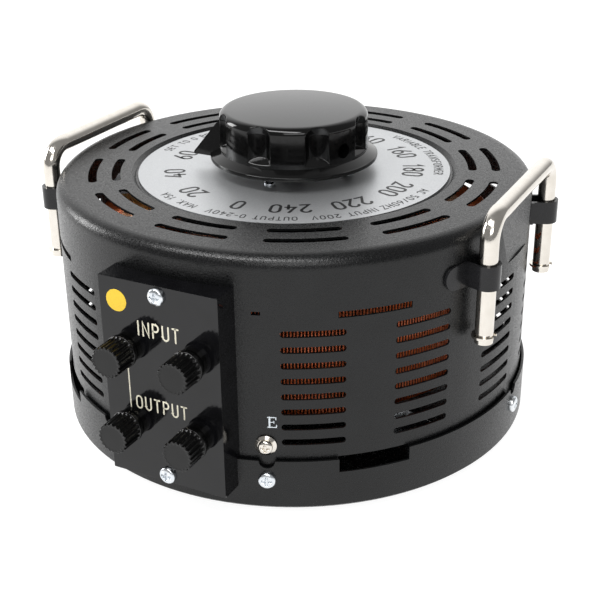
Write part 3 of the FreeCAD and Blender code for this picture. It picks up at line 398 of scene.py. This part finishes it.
# ---------------------------------------------------------------- knob
def knob_profile(low, top):
    """Steps from the crown's middle down to the skirt's underside."""
    skirt_thick, shoulder, crown_fall, crown_rings = 2.0 * MM, 4.0 * MM, 0.9 * MM, 22
    upper_edge, lower_edge = 0.4 * MM, 0.5 * MM
    crown_reach = KNOB_BODY - shoulder
    steps = []
    for index in range(1, crown_rings + 1):
        share = index / (crown_rings + 1)
        steps.append((share * crown_reach, top - crown_fall * share ** 2))
    steps += arc_steps((crown_reach, top - crown_fall - shoulder), shoulder, 88, 2, 12)
    foot = (KNOB_BODY + 0.2 * MM, low + 4.9 * MM)
    steps += line_steps((KNOB_BODY, top - 5.3 * MM), foot, 60)
    steps += line_steps(foot, (KNOB_SKIRT - upper_edge, low + skirt_thick + 0.1 * MM), 16)
    steps += arc_steps((KNOB_SKIRT - upper_edge, low + skirt_thick - 0.3 * MM), upper_edge, 90, 0, 4)
    steps += arc_steps((KNOB_SKIRT - lower_edge, low + lower_edge), lower_edge, 0, -90, 4)
    steps += [(share * KNOB_SKIRT, low) for share in (0.9, 0.6, 0.25)]
    return steps


def knob_reach(low, top):
    """Radius rule of the knob: eight finger flutes, each ending on a sloping foot."""
    circle, flute, step = 43.2 * MM, 7.6 * MM, TAU / KNOB_FLUTES
    flute_bottom = circle - flute
    foot, slope = low + 9.4 * MM, 0.82
    lean_start, lean_rate, edge = top - 5.5 * MM, 0.45, 0.45 * MM

    def rule(radius, height, bearing):
        off = (bearing - POINTER_BEARING) % step - step / 2
        across = circle * math.sin(off)
        if abs(across) >= flute:
            wall = circle + (abs(across) - flute) * 2
        else:
            wall = circle * math.cos(off) - math.sqrt(flute * flute - across * across)
        slant = (flute_bottom + (foot - height) / slope) / math.cos(off)
        lean = lean_rate * max(height - lean_start, 0)
        return smooth_least(radius, max(wall + lean, slant), edge)
    return rule


def pointer_solid(low, top):
    """The ridged wedge that rises from the pointer's tip to the knob's shoulder."""
    tip, crest, back = 54.5 * MM, 37 * MM, 34 * MM
    half_root, half_tip, tip_tall = 9.5 * MM, 0.5 * MM, 1.6 * MM
    floor, ridge = low + 0.2 * MM, top - 3.6 * MM
    mesh = bmesh.new()
    points = [(back, -half_root, floor), (back, half_root, floor), (tip, -half_tip, floor),
              (tip, half_tip, floor), (tip, 0, low + tip_tall), (crest, 0, ridge), (back, 0, ridge)]
    bmesh.ops.convex_hull(mesh, input=[mesh.verts.new(point) for point in points])
    bmesh.ops.dissolve_limit(mesh, angle_limit=0.02, verts=mesh.verts, edges=mesh.edges)
    bmesh.ops.bevel(mesh, geom=mesh.edges[:], offset=0.35 * MM, segments=3, profile=0.5,
                    affect="EDGES")
    bmesh.ops.transform(mesh, matrix=Matrix.Rotation(POINTER_BEARING, 4, "Z"), verts=mesh.verts)
    mesh.verts.index_update()
    vertices = [v.co.copy() for v in mesh.verts]
    faces = [tuple(v.index for v in face.verts) for face in mesh.faces]
    mesh.free()
    return vertices, faces


def cut_set_screw_bore(knob):
    """Bore the knob's side where its set screw sits."""
    tool = bmesh.new()
    bmesh.ops.create_cone(tool, cap_ends=True, segments=64, radius1=SET_SCREW_BORE,
                          radius2=SET_SCREW_BORE, depth=40 * MM)
    centre = (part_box("knob_set_screw")[0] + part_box("knob_set_screw")[1]) / 2
    bearing = math.atan2(centre.y, centre.x)
    tool.transform(out_from_axis(bearing, KNOB_SKIRT + 1 * MM, centre.z))
    mesh = bpy.data.meshes.new("bore")
    tool.to_mesh(mesh)
    tool.free()
    cutter = bpy.data.objects.new("bore", mesh)
    bpy.context.scene.collection.objects.link(cutter)
    cut = knob.modifiers.new("bore", "BOOLEAN")
    cut.operation = "DIFFERENCE"
    cut.solver = "EXACT"
    cut.object = cutter
    apply_modifiers(knob)
    bpy.data.objects.remove(cutter)


def make_knob():
    low, top = corner("control_knob", 0, 2), corner("control_knob", 1, 2)
    vertices, faces = turned_grid(knob_profile(low, top), 960, knob_reach(low, top))
    knob = piece("knob_moulding", vertices, [face[::-1] for face in faces], "rotor",
                 MATERIALS["black_bakelite"], ["control_knob"])
    cut_set_screw_bore(knob)
    vertices, faces = pointer_solid(low, top)
    piece("knob_pointer", vertices, faces, "rotor", MATERIALS["black_bakelite"])
    keep_flat("knob_pointer", 25)
    keep_flat("knob_moulding", 50)


def apply_modifiers(target):
    graph = bpy.context.evaluated_depsgraph_get()
    mesh = bpy.data.meshes.new_from_object(target.evaluated_get(graph))
    target.modifiers.clear()
    target.data = mesh


def keep_flat(name, degrees):
    """Smooth shading with edges sharper than this left crisp."""
    bpy.data.objects[name].data.set_sharp_from_angle(angle=math.radians(degrees))


# ---------------------------------------------------------------- terminal grips
def make_grips():
    """The four fluted terminal knobs."""
    radius, flange, grooves, deep = 8.0 * MM, 8.35 * MM, 20, 0.85 * MM
    bore, groove_start, lip, edge = 2.7 * MM, 2.7 * MM, 0.35 * MM, 0.4 * MM

    def reach(at, height, bearing):
        """Grooves that fade in above the flange and out on the end face."""
        fade = min(max((height - groove_start) / (0.5 * MM), 0), 1)
        fade *= min(max((at - radius + 1.4 * MM) / (0.6 * MM), 0), 1)
        wave = 0.5 - 0.5 * math.cos(grooves * bearing)
        return at - deep * fade * wave ** 1.3

    for name in POST_NAMES:
        node = "post_knob_" + name
        low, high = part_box(node)
        long = high.y - low.y
        dish = (radius - 1.3 * MM, long - 0.10 * MM)
        steps = line_steps((bore, 0), (flange - edge, 0), 4)
        steps += arc_steps((flange - edge, edge), edge, -90, 0, 3)
        steps += arc_steps((flange - 0.5 * MM, 1.8 * MM), 0.5 * MM, 0, 90, 4)
        steps += line_steps((radius + 0.15 * MM, 2.5 * MM), (radius, long - lip), 20)
        steps += arc_steps((radius - lip, long - lip), lip, 0, 86, 7)
        steps += line_steps((radius - 0.7 * MM, long - 0.01 * MM), dish, 2)
        steps += line_steps(dish, (0.6 * MM, long - 0.06 * MM), 5)
        vertices, faces = turned_grid(steps, 240, reach)
        centre = (low + high) / 2
        grip = piece("grip_" + name, moved(vertices, out_of_panel(centre.x, high.y, centre.z)), faces,
                     "knob_" + name, MATERIALS["black_bakelite"], [node])
        keep_flat(grip.name, 55)


# ---------------------------------------------------------------- cross-recessed screws
def screw_head(radius, height, cross):
    """A domed head with a tapered cross recess; its underside is at z = 0."""
    rings, columns = 30, 96
    steps = [(radius * (index / rings), height) for index in range(1, rings + 1)]
    vertices = []
    for reach, top in steps:
        share = reach / radius
        dome = top * (0.42 + 0.58 * math.sqrt(max(1 - share ** 2.6, 0)))
        for column in range(columns):
            bearing = TAU * column / columns
            x, y = reach * math.cos(bearing), reach * math.sin(bearing)
            along, across = max(abs(x), abs(y)), min(abs(x), abs(y))
            inside = min(0.11 * radius + 0.04 * (radius - along) - across, cross * radius - along)
            dip = min(max(inside / (0.09 * radius) + 0.5, 0), 1)
            deep = 0.55 * top * (1 - 0.45 * along / (cross * radius)) if along < cross * radius else 0
            vertices.append((x, y, dome - deep * dip))
    faces = grid_faces(rings, columns)
    middle = len(vertices)
    vertices.append((0, 0, height * 0.45))
    faces += [(middle, (column + 1) % columns, column)[::-1] for column in range(columns)]
    rim = (rings - 1) * columns
    under = len(vertices)
    vertices += [(radius * math.cos(TAU * c / columns), radius * math.sin(TAU * c / columns), 0)
                 for c in range(columns)]
    faces += [(rim + c, rim + (c + 1) % columns, under + (c + 1) % columns, under + c)
              for c in range(columns)]
    faces.append(tuple(range(under + columns - 1, under - 1, -1)))
    return vertices, [face[::-1] for face in faces[:-1]] + [faces[-1]]


def screw_group(name, node, places, radius, height, slot, cross=0.62):
    """Screw heads at the given matrices, standing for a CAD node."""
    solids = Solids()
    head = screw_head(radius, height, cross)
    for place in places:
        solids.add(moved(head[0], place), head[1])
    made = piece(name, solids.vertices, solids.faces, "casing", MATERIALS[slot], [node])
    keep_flat(made.name, 40)


def make_screws():
    pan_head, pan_tall = 4.3 * MM, 2.6 * MM
    pan_radius, rim_z = 130 * MM, 21 * MM
    rim = [out_from_axis(math.radians(bearing), pan_radius, rim_z)
           for bearing in (-69.3, 0, 69.3, 110.7, 180, 249.3)]
    screw_group("rim_screws", "base_screws", rim, pan_head, pan_tall, "zinc")
    low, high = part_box("terminal_box_screws")
    panel = [out_of_panel(0, PANEL_FACE, z) for z in (low.z + pan_head, high.z - pan_head)]
    screw_group("panel_screws", "terminal_box_screws", panel, pan_head, pan_tall, "zinc")
    centre = (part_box("earth_washer")[0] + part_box("earth_washer")[1]) / 2
    bearing = math.atan2(centre.y, centre.x)
    washer_top = 1.72 * MM
    earth = [out_from_axis(bearing, COVER_RADIUS + washer_top, centre.z)]
    screw_group("earth_screw_head", "earth_screw", earth, 3.6 * MM, 2.4 * MM, "nickel")
    circle, dial_head, dial_tall = 31.4 * MM, 2.9 * MM, 1.9 * MM
    level = corner("dial_screws", 1, 2) - dial_tall
    dial = []
    for bearing in (-87, 3, 93, 183):
        angle = math.radians(bearing)
        dial.append(Matrix.Translation((circle * math.cos(angle), circle * math.sin(angle), level)))
    screw_group("dial_plate_screws", "dial_screws", dial, dial_head, dial_tall, "zinc")


# ---------------------------------------------------------------- winding
def make_winding():
    """Every turn of enamelled wire: alternate turns drop to a second layer in the bore."""
    low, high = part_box("winding")
    turns, wire, sides = 410, 0.56 * MM, 6
    outer, bore = high.x - wire, 55 * MM + wire
    bottom, top = low.z + wire, high.z - wire
    bend, layer_drop = 2.4 * MM, 1.45 * MM
    split, join = 84 * MM, 64 * MM

    def loop(layer):
        """Middle line of one turn in (radius, height), and it closes."""
        drop = layer * layer_drop
        inside = bore + drop
        line = arc_steps((outer - bend, bottom + bend), bend, -90, 0, 3)
        line += arc_steps((outer - bend, top - bend), bend, 0, 90, 3)
        line += [(split, top), (join, top - drop)]
        line += arc_steps((inside + bend, top - drop - bend), bend, 90, 180, 3)
        line += arc_steps((inside + bend, bottom + drop + bend), bend, 180, 270, 3)
        line += [(join, bottom + drop), (split, bottom)]
        return np.array(line)

    vertices = np.zeros((0, 3))
    faces = []
    for turn in range(turns):
        line = loop(turn % 2)
        count = len(line)
        along = np.roll(line, -1, axis=0) - np.roll(line, 1, axis=0)
        along /= np.linalg.norm(along, axis=1)[:, None]
        normal = np.stack([along[:, 1], -along[:, 0]], axis=1)
        bearing = TAU * turn / turns
        radial = np.array([math.cos(bearing), math.sin(bearing), 0])
        around = np.array([-math.sin(bearing), math.cos(bearing), 0])
        rings = []
        for side in range(sides):
            angle = TAU * (side + 0.5) / sides
            flat = line + wire * math.cos(angle) * normal
            ring = flat[:, :1] * radial + wire * math.sin(angle) * around
            ring[:, 2] += flat[:, 1]
            rings.append(ring)
        block = np.stack(rings, axis=1).reshape(-1, 3)
        start = turn * count * sides
        for step in range(count):
            nearer, further = step * sides, (step + 1) % count * sides
            for side in range(sides):
                after = (side + 1) % sides
                faces.append((start + nearer + side, start + further + side,
                              start + further + after, start + nearer + after))
        vertices = np.vstack([vertices, block])
    piece("winding_turns", vertices, faces, "casing", MATERIALS["enamelled_copper"],
          ["winding"])


def make_brush_spring():
    """The small coil spring over the carbon brush."""
    low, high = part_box("brush_spring")
    centre = (low + high) / 2
    wire, coils, radius = 0.3 * MM, 6, 2.2 * MM
    line = bpy.data.curves.new("brush_coil", "CURVE")
    line.dimensions = "3D"
    line.bevel_depth = wire
    line.bevel_resolution = 2
    line.use_fill_caps = True
    spline = line.splines.new("POLY")
    steps = coils * 24
    spline.points.add(steps)
    for index in range(steps + 1):
        bearing = TAU * coils * index / steps
        height = low.z + wire + (high.z - low.z - 2 * wire) * index / steps
        spot = (centre.x + radius * math.cos(bearing), centre.y + radius * math.sin(bearing), height)
        spline.points[index].co = (*spot, 1)
    curve = bpy.data.objects.new("brush_coil", line)
    bpy.context.scene.collection.objects.link(curve)
    graph = bpy.context.evaluated_depsgraph_get()
    mesh = bpy.data.meshes.new_from_object(curve.evaluated_get(graph))
    bpy.data.objects.remove(curve)
    coil = bpy.data.objects.new("brush_spring_coil", mesh)
    bpy.context.scene.collection.objects.link(coil)
    mesh.materials.clear()
    mesh.materials.append(MATERIALS["ground_steel"])
    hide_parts("brush_spring")
    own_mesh(coil)
    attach(coil, "rotor")


# ---------------------------------------------------------------- printed figures and letters
def bow(x, y, wide, high, start, end, count=10):
    """Points round an ellipse, angles in degrees."""
    points = []
    for index in range(count + 1):
        angle = math.radians(start + (end - start) * index / count)
        points.append((x + wide * math.cos(angle), y + high * math.sin(angle)))
    return points


def ring_stroke(x, y, wide, high):
    """A closed round-ended loop."""
    reach = min(wide, high)
    if high >= wide:
        upper = bow(x, y + high - reach, wide, reach, 0, 180)
        return upper + bow(x, y - high + reach, wide, reach, 180, 360) + upper[:1]
    return bow(x, y, wide, high, 0, 360, 20)


GLYPHS = {
    "0": (0.54, [ring_stroke(0.27, 0.5, 0.27, 0.5)]),
    "1": (0.30, [[(0.0, 0.78), (0.17, 1), (0.17, 0)]]),
    "2": (0.52, [bow(0.26, 0.74, 0.26, 0.26, 165, -25) + [(0.0, 0.0), (0.54, 0.0)]]),
    "4": (0.56, [[(0.36, 1), (0, 0.3), (0.58, 0.3)], [(0.42, 0.55), (0.42, 0)]]),
    "5": (0.52, [[(0.48, 1), (0.05, 1), (0.03, 0.56)] + bow(0.25, 0.31, 0.27, 0.31, 110, -140)]),
    "6": (0.54, [[(0.42, 1), (0.06, 0.5)] + bow(0.27, 0.28, 0.27, 0.28, 160, 520, 20)]),
    "8": (0.54, [ring_stroke(0.27, 0.76, 0.23, 0.24), ring_stroke(0.27, 0.26, 0.27, 0.26)]),
    "A": (0.60, [[(0, 0), (0.3, 1), (0.6, 0)], [(0.1, 0.33), (0.5, 0.33)]]),
    "B": (0.54, [[(0.27, 0.52), (0, 0.52), (0, 0), (0.27, 0)] + bow(0.27, 0.26, 0.27, 0.26, -90, 90)
                 + [(0, 0.52), (0, 1), (0.25, 1)] + bow(0.25, 0.76, 0.24, 0.24, 90, -90)]),
    "C": (0.54, [bow(0.28, 0.72, 0.27, 0.28, 30, 180) + bow(0.28, 0.28, 0.27, 0.28, 180, 330)]),
    "E": (0.48, [[(0.48, 1), (0, 1), (0, 0), (0.48, 0)], [(0, 0.52), (0.4, 0.52)]]),
    "F": (0.46, [[(0.46, 1), (0, 1), (0, 0)], [(0, 0.52), (0.38, 0.52)]]),
    "H": (0.54, [[(0, 0), (0, 1)], [(0.54, 0), (0.54, 1)], [(0, 0.5), (0.54, 0.5)]]),
    "I": (0.08, [[(0.04, 0), (0.04, 1)]]),
    "L": (0.44, [[(0, 1), (0, 0), (0.44, 0)]]),
    "M": (0.66, [[(0, 0), (0, 1), (0.33, 0.35), (0.66, 1), (0.66, 0)]]),
    "N": (0.54, [[(0, 0), (0, 1), (0.54, 0), (0.54, 1)]]),
    "O": (0.56, [ring_stroke(0.28, 0.5, 0.28, 0.5)]),
    "P": (0.52, [[(0, 0), (0, 1), (0.26, 1)] + bow(0.26, 0.74, 0.26, 0.26, 90, -90) + [(0, 0.48)]]),
    "R": (0.54, [[(0, 0), (0, 1), (0.26, 1)] + bow(0.26, 0.75, 0.26, 0.25, 90, -90) + [(0, 0.5)],
                 [(0.26, 0.5), (0.54, 0)]]),
    "S": (0.50, [bow(0.25, 0.76, 0.25, 0.24, 35, 270) + bow(0.25, 0.26, 0.25, 0.26, 90, -145)]),
    "T": (0.52, [[(0, 1), (0.52, 1)], [(0.26, 1), (0.26, 0)]]),
    "U": (0.54, [[(0, 1), (0, 0.27)] + bow(0.27, 0.27, 0.27, 0.27, 180, 360) + [(0.54, 1)]]),
    "V": (0.58, [[(0, 1), (0.29, 0), (0.58, 1)]]),
    "X": (0.54, [[(0, 0), (0.54, 1)], [(0, 1), (0.54, 0)]]),
    "Z": (0.52, [[(0, 1), (0.52, 1), (0, 0), (0.52, 0)]]),
    "-": (0.36, [[(0.02, 0.5), (0.34, 0.5)]]),
    "/": (0.44, [[(0, 0), (0.44, 1)]]),
    ".": (0.10, [[(0.03, 0.02), (0.07, 0.02)]]),
    " ": (0.30, []),
}


def ribbon(points, width):
    """Outline rows of a stroke of even width with round ends, as left and right points."""
    line = [Vector(p) for p in points]
    closed = (line[0] - line[-1]).length < 1e-6
    if closed:
        line.pop()
    count = len(line)
    rows = []
    for index, spot in enumerate(line):
        before = line[index - 1] if closed or index else None
        after = line[(index + 1) % count] if closed or index < count - 1 else None
        headings = []
        if before is not None:
            headings.append((spot - before).normalized())
        if after is not None:
            headings.append((after - spot).normalized())
        mean = sum(headings, Vector((0, 0))).normalized()
        normal = Vector((-mean.y, mean.x))
        stretch = 1 / max(mean.dot(headings[0]), 0.45)
        rows.append((spot + normal * width / 2 * stretch, spot - normal * width / 2 * stretch))
    if not closed:
        first = round_end(line[0], line[1], width)[::-1]
        last = round_end(line[-1], line[-2], width, -1)
        rows = first + rows[1:-1] + last
    return rows, closed


def round_end(end, inner, width, sense=1):
    """Rows that round off the end of a stroke, outermost last; sense keeps left on the left."""
    out = (end - inner).normalized()
    side = Vector((out.y, -out.x)) * sense
    rows = []
    for share in (0.0, 0.5, 0.85, 1.0):
        half = width / 2 * math.sqrt(1 - share * share) + 1e-4 * width
        spot = end + out * width / 2 * share
        rows.append((spot + side * half, spot - side * half))
    return rows


def text_ribbons(text, height, width, spacing, squeeze):
    """Ribbons of a line of text, centred on x = 0 with its foot at y = 0.

    width is that of a stroke; spacing is a share of the height; squeeze narrows the letters."""
    x, made = 0.0, []
    for letter in text:
        wide, strokes = GLYPHS[letter]
        for stroke in strokes:
            points = [((x + px * squeeze) * height, py * height) for px, py in stroke]
            made.append(ribbon(points, width))
        x += wide * squeeze + spacing
    half = (x - spacing) * height / 2
    return [([(a - Vector((half, 0)), b - Vector((half, 0))) for a, b in rows], closed)
            for rows, closed in made]


def print_solids(solids, ribbons, onto, lift=0.06 * MM, sunk=0.05 * MM):
    """Thin raised strokes; onto(x, y, z) lays the flat text on its surface."""
    for rows, closed in ribbons:
        vertices = []
        for left, right in rows:
            for x, y, z in ((*left, lift), (*right, lift), (*right, -sunk), (*left, -sunk)):
                vertices.append(onto(x, y, z))
        count = len(rows)
        faces = []
        for index in range(count if closed else count - 1):
            after = (index + 1) % count
            for side in range(4):
                other = (side + 1) % 4
                faces.append((4 * index + side, 4 * after + side, 4 * after + other, 4 * index + other))
        if not closed:
            faces.append((0, 1, 2, 3))
            faces.append(tuple(4 * (count - 1) + side for side in (3, 2, 1, 0)))
        solids.add(vertices, faces)


def on_dial(bearing, radius):
    """Lay text on the dial with its tops outward, centred on a bearing in degrees."""
    def onto(x, y, z):
        reach = radius + y
        angle = math.radians(bearing) - x / radius
        return Vector((reach * math.cos(angle), reach * math.sin(angle), DIAL_FACE + z))
    return onto


def on_panel(x0, z0):
    def onto(x, y, z):
        return Vector((x0 + x, PANEL_FACE - z, z0 + y))
    return onto


def on_cover(bearing, z0):
    def onto(x, y, z):
        angle = math.radians(bearing) + x / COVER_RADIUS
        reach = COVER_RADIUS + z
        return Vector((reach * math.cos(angle), reach * math.sin(angle), z0 + y))
    return onto


def fixed_normals(target):
    """Turn every face of a piece outward."""
    mesh = bmesh.new()
    mesh.from_mesh(target.data)
    bmesh.ops.recalc_face_normals(mesh, faces=mesh.faces)
    mesh.to_mesh(target.data)
    mesh.free()


def printed(name, solids, material):
    """One piece of printing, fixed to the casing."""
    fixed_normals(piece(name, solids.vertices, solids.faces, "casing", material, smooth=False))


def print_dial():
    """Figures every 20 V from the zero mark clockwise, and the notes round the rim."""
    zero, spread, last = -88.5, 28, -64.5
    figures = Solids()
    for index in range(13):
        bearing = last if index == 12 else zero - spread * index
        text = text_ribbons(str(20 * index), 10.2 * MM, 1.4 * MM, 0.25, 0.78)
        print_solids(figures, text, on_dial(bearing, 59.4 * MM))
    printed("dial_figures", figures, BLACK_INK)

    notes = Solids()
    for text, bearing in (("INPUT 200V", -44), ("OUTPUT 0-240V", -79), ("MAX. 15A", -112),
                          ("AC 50/60HZ", -16), ("VARIABLE TRANSFORMER", 42),
                          ("SET TO 0 BEFORE USE", 160)):
        print_solids(notes, text_ribbons(text, 4.4 * MM, 0.6 * MM, 0.36, 0.9),
                     on_dial(bearing, 75.7 * MM))
    printed("dial_notes", notes, BLACK_INK)


def print_panel():
    """INPUT and OUTPUT, and the line that joins the left posts."""
    panel = Solids()
    print_solids(panel, text_ribbons("INPUT", 7.1 * MM, 0.85 * MM, 0.33, 0.82),
                 on_panel(-0.6 * MM, 94.7 * MM))
    print_solids(panel, text_ribbons("OUTPUT", 6.6 * MM, 0.8 * MM, 0.33, 0.82),
                 on_panel(-1.4 * MM, 54.6 * MM))
    line_x, line_low, line_high, tick, stroke = -19 * MM, 49.7 * MM, 79 * MM, 1.3 * MM, 0.7 * MM
    line = [ribbon([(line_x, line_low), (line_x, line_high)], stroke),
            ribbon([(line_x - tick, line_low), (line_x + tick, line_low)], stroke)]
    print_solids(panel, line, on_panel(0, 0))
    printed("panel_lettering", panel, CREAM_INK)


def print_earth_letter():
    """A serifed E above the earth screw: start, end and width of each stroke in millimetres."""
    earth = Solids()
    strokes = [ribbon([(a[0] * MM, a[1] * MM), (b[0] * MM, b[1] * MM)], width * MM)
               for a, b, width in (((-1.2, 0), (-1.2, 5.4), 0.9), ((-2.1, 5.4), (1.9, 5.4), 0.5),
                                   ((-2.1, 0), (2.1, 0), 0.5), ((-1.0, 2.8), (0.9, 2.8), 0.45),
                                   ((1.9, 5.4), (1.9, 4.3), 0.45), ((2.1, 0), (2.1, 1.2), 0.45),
                                   ((0.9, 2.2), (0.9, 3.4), 0.4))]
    print_solids(earth, strokes, on_cover(-68.1, 49.2 * MM))
    printed("earth_letter", earth, WHITE_INK)


def print_spot():
    """A plain round spot above the upper left post."""
    spot = Solids()
    radius, columns = 5.6 * MM, 64
    onto = on_panel(-22.8 * MM, 110.2 * MM)
    rims = [(radius, -0.05 * MM), (radius, 0.08 * MM), (radius - 0.06 * MM, 0.12 * MM)]
    vertices = [onto(reach * math.cos(TAU * c / columns), reach * math.sin(TAU * c / columns), lift)
                for reach, lift in rims for c in range(columns)]
    faces = grid_faces(len(rims), columns)
    faces += [tuple(range(columns)), tuple(range(3 * columns - 1, 2 * columns - 1, -1))]
    spot.add(vertices, faces)
    printed("panel_spot", spot, YELLOW_INK)


# ---------------------------------------------------------------- soft edges on a CAD part
def soften(node, width):
    """Round the sharp edges of a CAD node so that they catch the light."""
    target = frame["nodes"][node]
    weld = target.modifiers.new("weld", "WELD")
    weld.merge_threshold = 0.001 * MM
    bevel = target.modifiers.new("edge", "BEVEL")
    bevel.width = width
    bevel.segments = 3
    bevel.limit_method = "ANGLE"
    bevel.angle_limit = math.radians(40)
    bevel.harden_normals = True


# ---------------------------------------------------------------- studio
def make_floor():
    size = 6.0
    mesh = bpy.data.meshes.new("floor")
    mesh.from_pydata([(-size, -size, 0), (size, -size, 0), (size, size, 0), (-size, size, 0)], [],
                     [(0, 1, 2, 3)])
    mesh.materials.append(floor_paper())
    floor = bpy.data.objects.new("floor", mesh)
    bpy.context.scene.collection.objects.link(floor)


def make_world():
    """A dim room with one broad bright wall behind the object, to its left."""
    world = bpy.data.worlds.new("studio")
    bpy.context.scene.world = world
    world.use_nodes = True
    tree = world.node_tree
    coords = tree.nodes.new("ShaderNodeTexCoord")
    facing = tree.nodes.new("ShaderNodeVectorMath")
    facing.operation = "DOT_PRODUCT"
    facing.inputs[1].default_value = Vector((-0.42, 0.80, 0.43)).normalized()
    tree.links.new(coords.outputs["Generated"], facing.inputs[0])
    wall = tree.nodes.new("ShaderNodeMapRange")
    wall.interpolation_type = "SMOOTHSTEP"
    wall.inputs["From Min"].default_value = 0.55
    wall.inputs["From Max"].default_value = 0.97
    wall.inputs["To Min"].default_value = 0.30
    wall.inputs["To Max"].default_value = 1.42
    tree.links.new(facing.outputs["Value"], wall.inputs["Value"])
    tree.links.new(wall.outputs["Result"], tree.nodes["Background"].inputs["Strength"])
    tree.nodes["Background"].inputs["Color"].default_value = (1, 1, 1, 1)


def make_lights():
    """Area lights as (name, place, aim, width, height, watts)."""
    for name, spot, aim, width, height, power in (
            ("overhead", (-0.1, -0.62, 1.15), (0, 0, 0.1), 1.3, 0.26, 14),
            ("left_panel", (-1.4, -0.15, 0.5), (0, 0, 0.1), 0.4, 0.6, 9),
            ("front_fill", (0.8, -1.5, 1.1), (0, 0, 0.05), 1.0, 0.6, 7)):
        light = bpy.data.lights.new(name, "AREA")
        light.shape = "RECTANGLE"
        light.size = width
        light.size_y = height
        light.energy = power
        lamp = bpy.data.objects.new(name, light)
        lamp.location = spot
        lamp.rotation_euler = (Vector(aim) - Vector(spot)).to_track_quat("-Z", "Y").to_euler()
        bpy.context.scene.collection.objects.link(lamp)


def make_camera():
    """A view from the front right, 27 degrees round and 25 degrees above, with a slight roll."""
    spot = Vector((279.69, -541.33, 343.64)) * MM
    aim = Vector((0, 0, 57.38)) * MM
    roll = math.radians(-0.72)
    ahead = (aim - spot).normalized()
    right = ahead.cross(Vector((0, 0, 1))).normalized()
    above = right.cross(ahead)
    x_axis = right * math.cos(roll) + above * math.sin(roll)
    y_axis = above * math.cos(roll) - right * math.sin(roll)
    turn = Matrix((x_axis, y_axis, -ahead)).transposed()
    camera = bpy.data.cameras.new("camera")
    camera.sensor_width = 36
    camera.lens = 70.72
    camera.shift_x = 0.0070
    camera.shift_y = -0.0033
    camera.clip_start = 0.05
    holder = bpy.data.objects.new("camera", camera)
    holder.matrix_world = Matrix.Translation(spot) @ turn.to_4x4()
    bpy.context.scene.collection.objects.link(holder)
    bpy.context.scene.camera = holder


dress_frame()
make_camera()
make_floor()
make_world()
make_lights()
make_knob()
make_grips()
make_screws()
make_winding()
make_brush_spring()
print_dial()
print_panel()
print_earth_letter()
print_spot()
soften("terminal_box", 0.9 * MM)
bpy.context.scene.view_settings.view_transform = "Standard"
